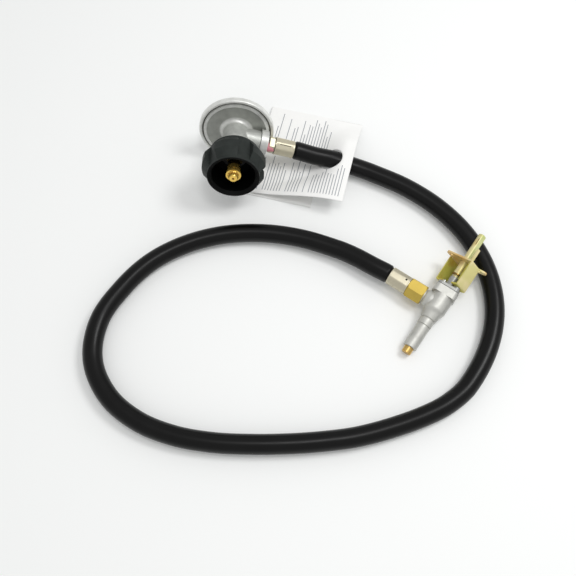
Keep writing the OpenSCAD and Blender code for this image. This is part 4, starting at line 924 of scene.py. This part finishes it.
class GASLINE_OT_steel(GasLineOperator):
    """Finishes the bracket, the stem and the small steel pieces"""
    bl_idname = "gas_line.steel"
    bl_label = "Bracket and stem"

    def execute(self, context):
        metal = context.scene.gas_line.metal
        edge = metal.edge

        def outer_face(tree, cut):
            across = add(tree, "ShaderNodeMath", links={0: cut.outputs["X"]},
                         operation="ABSOLUTE")
            return add(tree, "ShaderNodeMath", links={
                0: step(tree, across.outputs[0], *BRACKET_SIDES),
                1: step(tree, cut.outputs["Z"], *BRACKET_TOP)}, operation="MAXIMUM").outputs[0]

        def off_flat(tree, cut):
            return step(tree, cut.outputs["X"], *STEM_FLAT)

        eased("bracket", chromate("Yellow zinc plate", BRACKET, metal.zinc, metal.film,
                                  outer_face), edge)
        eased("stem", chromate("Yellow zinc stem", BRACKET, metal.stem, metal.stem_film,
                               off_flat), edge)
        plated = pressed_metal("Bright zinc plate", BRACKET, shaded(metal.plated, 0.9),
                               metal.plated, 0.32, 0.7)
        for node in ("cap_screw_upper", "cap_screw_lower"):
            eased(node, plated, 0.12 * MM)
        clip = turned_metal("Spring bronze", BRACKET, metal.bronze_shade, metal.bronze, 0.3, 0.8)
        eased("stem_clip", clip, 0.1 * MM)
        for node in ("stem_pin", "lever_pin", "diaphragm_plate", "vent_screen"):
            finish_node(node, plated)
        return {"FINISHED"}


def spun(front, start, angle):
    """A part of the diaphragm: the outline of its front, given as (radius, depth) in
    millimetres, and its back, spun round the regulator's axis."""
    bm = bmesh.new()
    outline = ([(r, DIA_BACK - h) for r, h in front]
               + [(r, DIA_FRONT - h) for r, h in reversed(front)])
    verts = [bm.verts.new((r * MM, 0, z * MM)) for r, z in outline]
    for one, other in zip(verts, verts[1:] + verts[:1]):
        bm.edges.new((one, other))
    bmesh.ops.rotate(bm, cent=(0, 0, 0), matrix=Matrix.Rotation(start, 3, "Z"), verts=bm.verts)
    whole = angle > pi
    bmesh.ops.spin(bm, geom=list(bm.verts) + list(bm.edges), cent=(0, 0, 0), axis=(0, 0, 1),
                   angle=angle, steps=72 if whole else 6, use_merge=whole,
                   use_duplicate=False)
    if whole:
        bmesh.ops.remove_doubles(bm, verts=bm.verts, dist=0.005 * MM)
    else:
        bmesh.ops.holes_fill(bm, edges=[e for e in bm.edges if e.is_boundary], sides=0)
    bmesh.ops.recalc_face_normals(bm, faces=bm.faces)
    bmesh.ops.transform(bm, matrix=REGULATOR, verts=bm.verts)
    return bm


class GASLINE_OT_seals(GasLineOperator):
    """Makes the sealant and the diaphragm, and finishes the other seals"""
    bl_idname = "gas_line.seals"
    bl_label = "Seals"

    def execute(self, context):
        settings = context.scene.gas_line.soft
        # Dried paste squeezed out of the joint: uneven, rounded and slightly lumpy
        bm = bmesh.new()
        ring = bmesh.ops.create_circle(bm, cap_ends=False, radius=SEALANT_THICK_R * MM,
                                        segments=20)
        bmesh.ops.transform(bm, matrix=shifted(SEALANT_R, 0, SEALANT_Z) @ turned(90, "X"),
                            verts=ring["verts"])
        bmesh.ops.spin(bm, geom=list(bm.edges), cent=(0, 0, 0), axis=(0, 0, 1), angle=2 * pi,
                       steps=96, use_merge=True, use_duplicate=False)
        bmesh.ops.remove_doubles(bm, verts=bm.verts, dist=0.01 * MM)
        bmesh.ops.recalc_face_normals(bm, faces=bm.faces)
        for vert in bm.verts:
            out = Vector((vert.co.x, vert.co.y, 0)).normalized()
            lump = noise.noise(vert.co * 700)
            # It ran to the lower side before it dried
            side = max(0.0, out.dot(SEALANT_SIDE)) ** 6
            lean = 0.5 + (vert.co.z / MM - SEALANT_Z) / (2 * SEALANT_THICK_R)
            vert.co += out * (0.14 * lump + 1.95 * side - 0.8) * MM
            vert.co.z += 5 * side * lean * MM
            vert.co.z += 0.12 * MM * noise.noise(vert.co * 500 + Vector((4, 0, 0)))
        bmesh.ops.transform(bm, matrix=OUTLET, verts=bm.verts)
        paste = moulded("Dried thread sealant", OUTLET, settings.sealant, 0.55, 0.5, 0.05, 0.82)
        piece("sealant_bead", bm, "housing", paste, "thread_sealant")

        rubber = moulded("Nitrile rubber", REGULATOR, settings.seal, 0.55)
        # The diaphragm: a clamped rim, a soft fold, and a middle that the plate carries.
        # The fold is made in wedges, each spun through its own angle, and they ride on no body
        fold = [(DIA_IN_R + DIA_FOLD * t / 16, sin(pi * t / 16)) for t in range(17)]
        rim = [(DIA_IN_R + DIA_FOLD, 0), (DIA_RIM_R, 0)]
        middle = [(DIA_HOLE_R, 0), (DIA_IN_R, 0)]
        full, turn = 2 * pi, 2 * pi / DIA_WEDGES
        piece("diaphragm_rim", spun(rim, 0, full), "housing", rubber,
              "diaphragm", keep_sharp=50)
        piece("diaphragm_middle", spun(middle, 0, full), "plate", rubber,
              "diaphragm", keep_sharp=50)
        for number in range(DIA_WEDGES):
            wedge = piece(f"diaphragm_fold_{number + 1:02d}", spun(fold, number * turn, turn),
                          None, rubber, "diaphragm", keep_sharp=50)
            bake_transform(wedge)
        eased("seat_disc", rubber, 0.15 * MM)
        eased("cap_gasket", rubber, 0.08 * MM)
        return {"FINISHED"}


class GASLINE_OT_springs(GasLineOperator):
    """Makes the three coil springs"""
    bl_idname = "gas_line.springs"
    bl_label = "Springs"

    def execute(self, context):
        sides = context.scene.gas_line.soft.coil_sides
        metal = context.scene.gas_line.metal
        steel = turned_metal("Drawn spring wire", REGULATOR, metal.wire_shade, metal.wire, 0.3,
                             0.8)
        for node, place, start, length, travel, radius, wire, turns, joint in (
                ("main_spring", REGULATOR, MAIN_SPRING_S, MAIN_SPRING_LEN, PLATE_TRAVEL,
                 9, 0.8, 3.5, "plate_lift"),
                ("check_spring", REGULATOR, CHECK_SPRING_S, CHECK_SPRING_LEN, POPPET_TRAVEL,
                 2.1, 0.25, 7, "poppet_open"),
                ("plug_spring", VALVE, PLUG_SPRING_S, PLUG_SPRING_LEN, STEM_TRAVEL,
                 3.3, 0.35, 3, "stem_push")):
            made = coil(node + "_coil", place @ shifted(0, 0, start), radius, wire, length,
                        turns, steel, node, sides)
            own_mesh(made)
        return {"FINISHED"}


class GASLINE_PT_panel(Panel):
    """Lists the pieces that can be made"""
    bl_idname = "GASLINE_PT_panel"
    bl_label = "Gas line"
    bl_space_type = "VIEW_3D"
    bl_region_type = "UI"
    bl_category = "Gas line"

    def draw(self, context):
        for operator in ORDER:
            self.layout.operator(operator.bl_idname)


ORDER = (GASLINE_OT_stage, GASLINE_OT_castings, GASLINE_OT_nut, GASLINE_OT_brass,
         GASLINE_OT_ferrules, GASLINE_OT_steel, GASLINE_OT_seals, GASLINE_OT_springs,
         GASLINE_OT_hose, GASLINE_OT_leaflet)
CLASSES = (HoseSettings, LeafletSettings, CastSettings, NutSettings, MetalSettings,
           SoftSettings, StageSettings, GasLineSettings, *ORDER, GASLINE_PT_panel)


def register():
    for made in CLASSES:
        bpy.utils.register_class(made)
    bpy.types.Scene.gas_line = PointerProperty(type=GasLineSettings)


def unregister():
    del bpy.types.Scene.gas_line
    for made in reversed(CLASSES):
        bpy.utils.unregister_class(made)


def main():
    register()
    for operator in ORDER:
        group, name = operator.bl_idname.split(".")
        getattr(getattr(bpy.ops, group), name)()


if __name__ == "__main__":
    main()
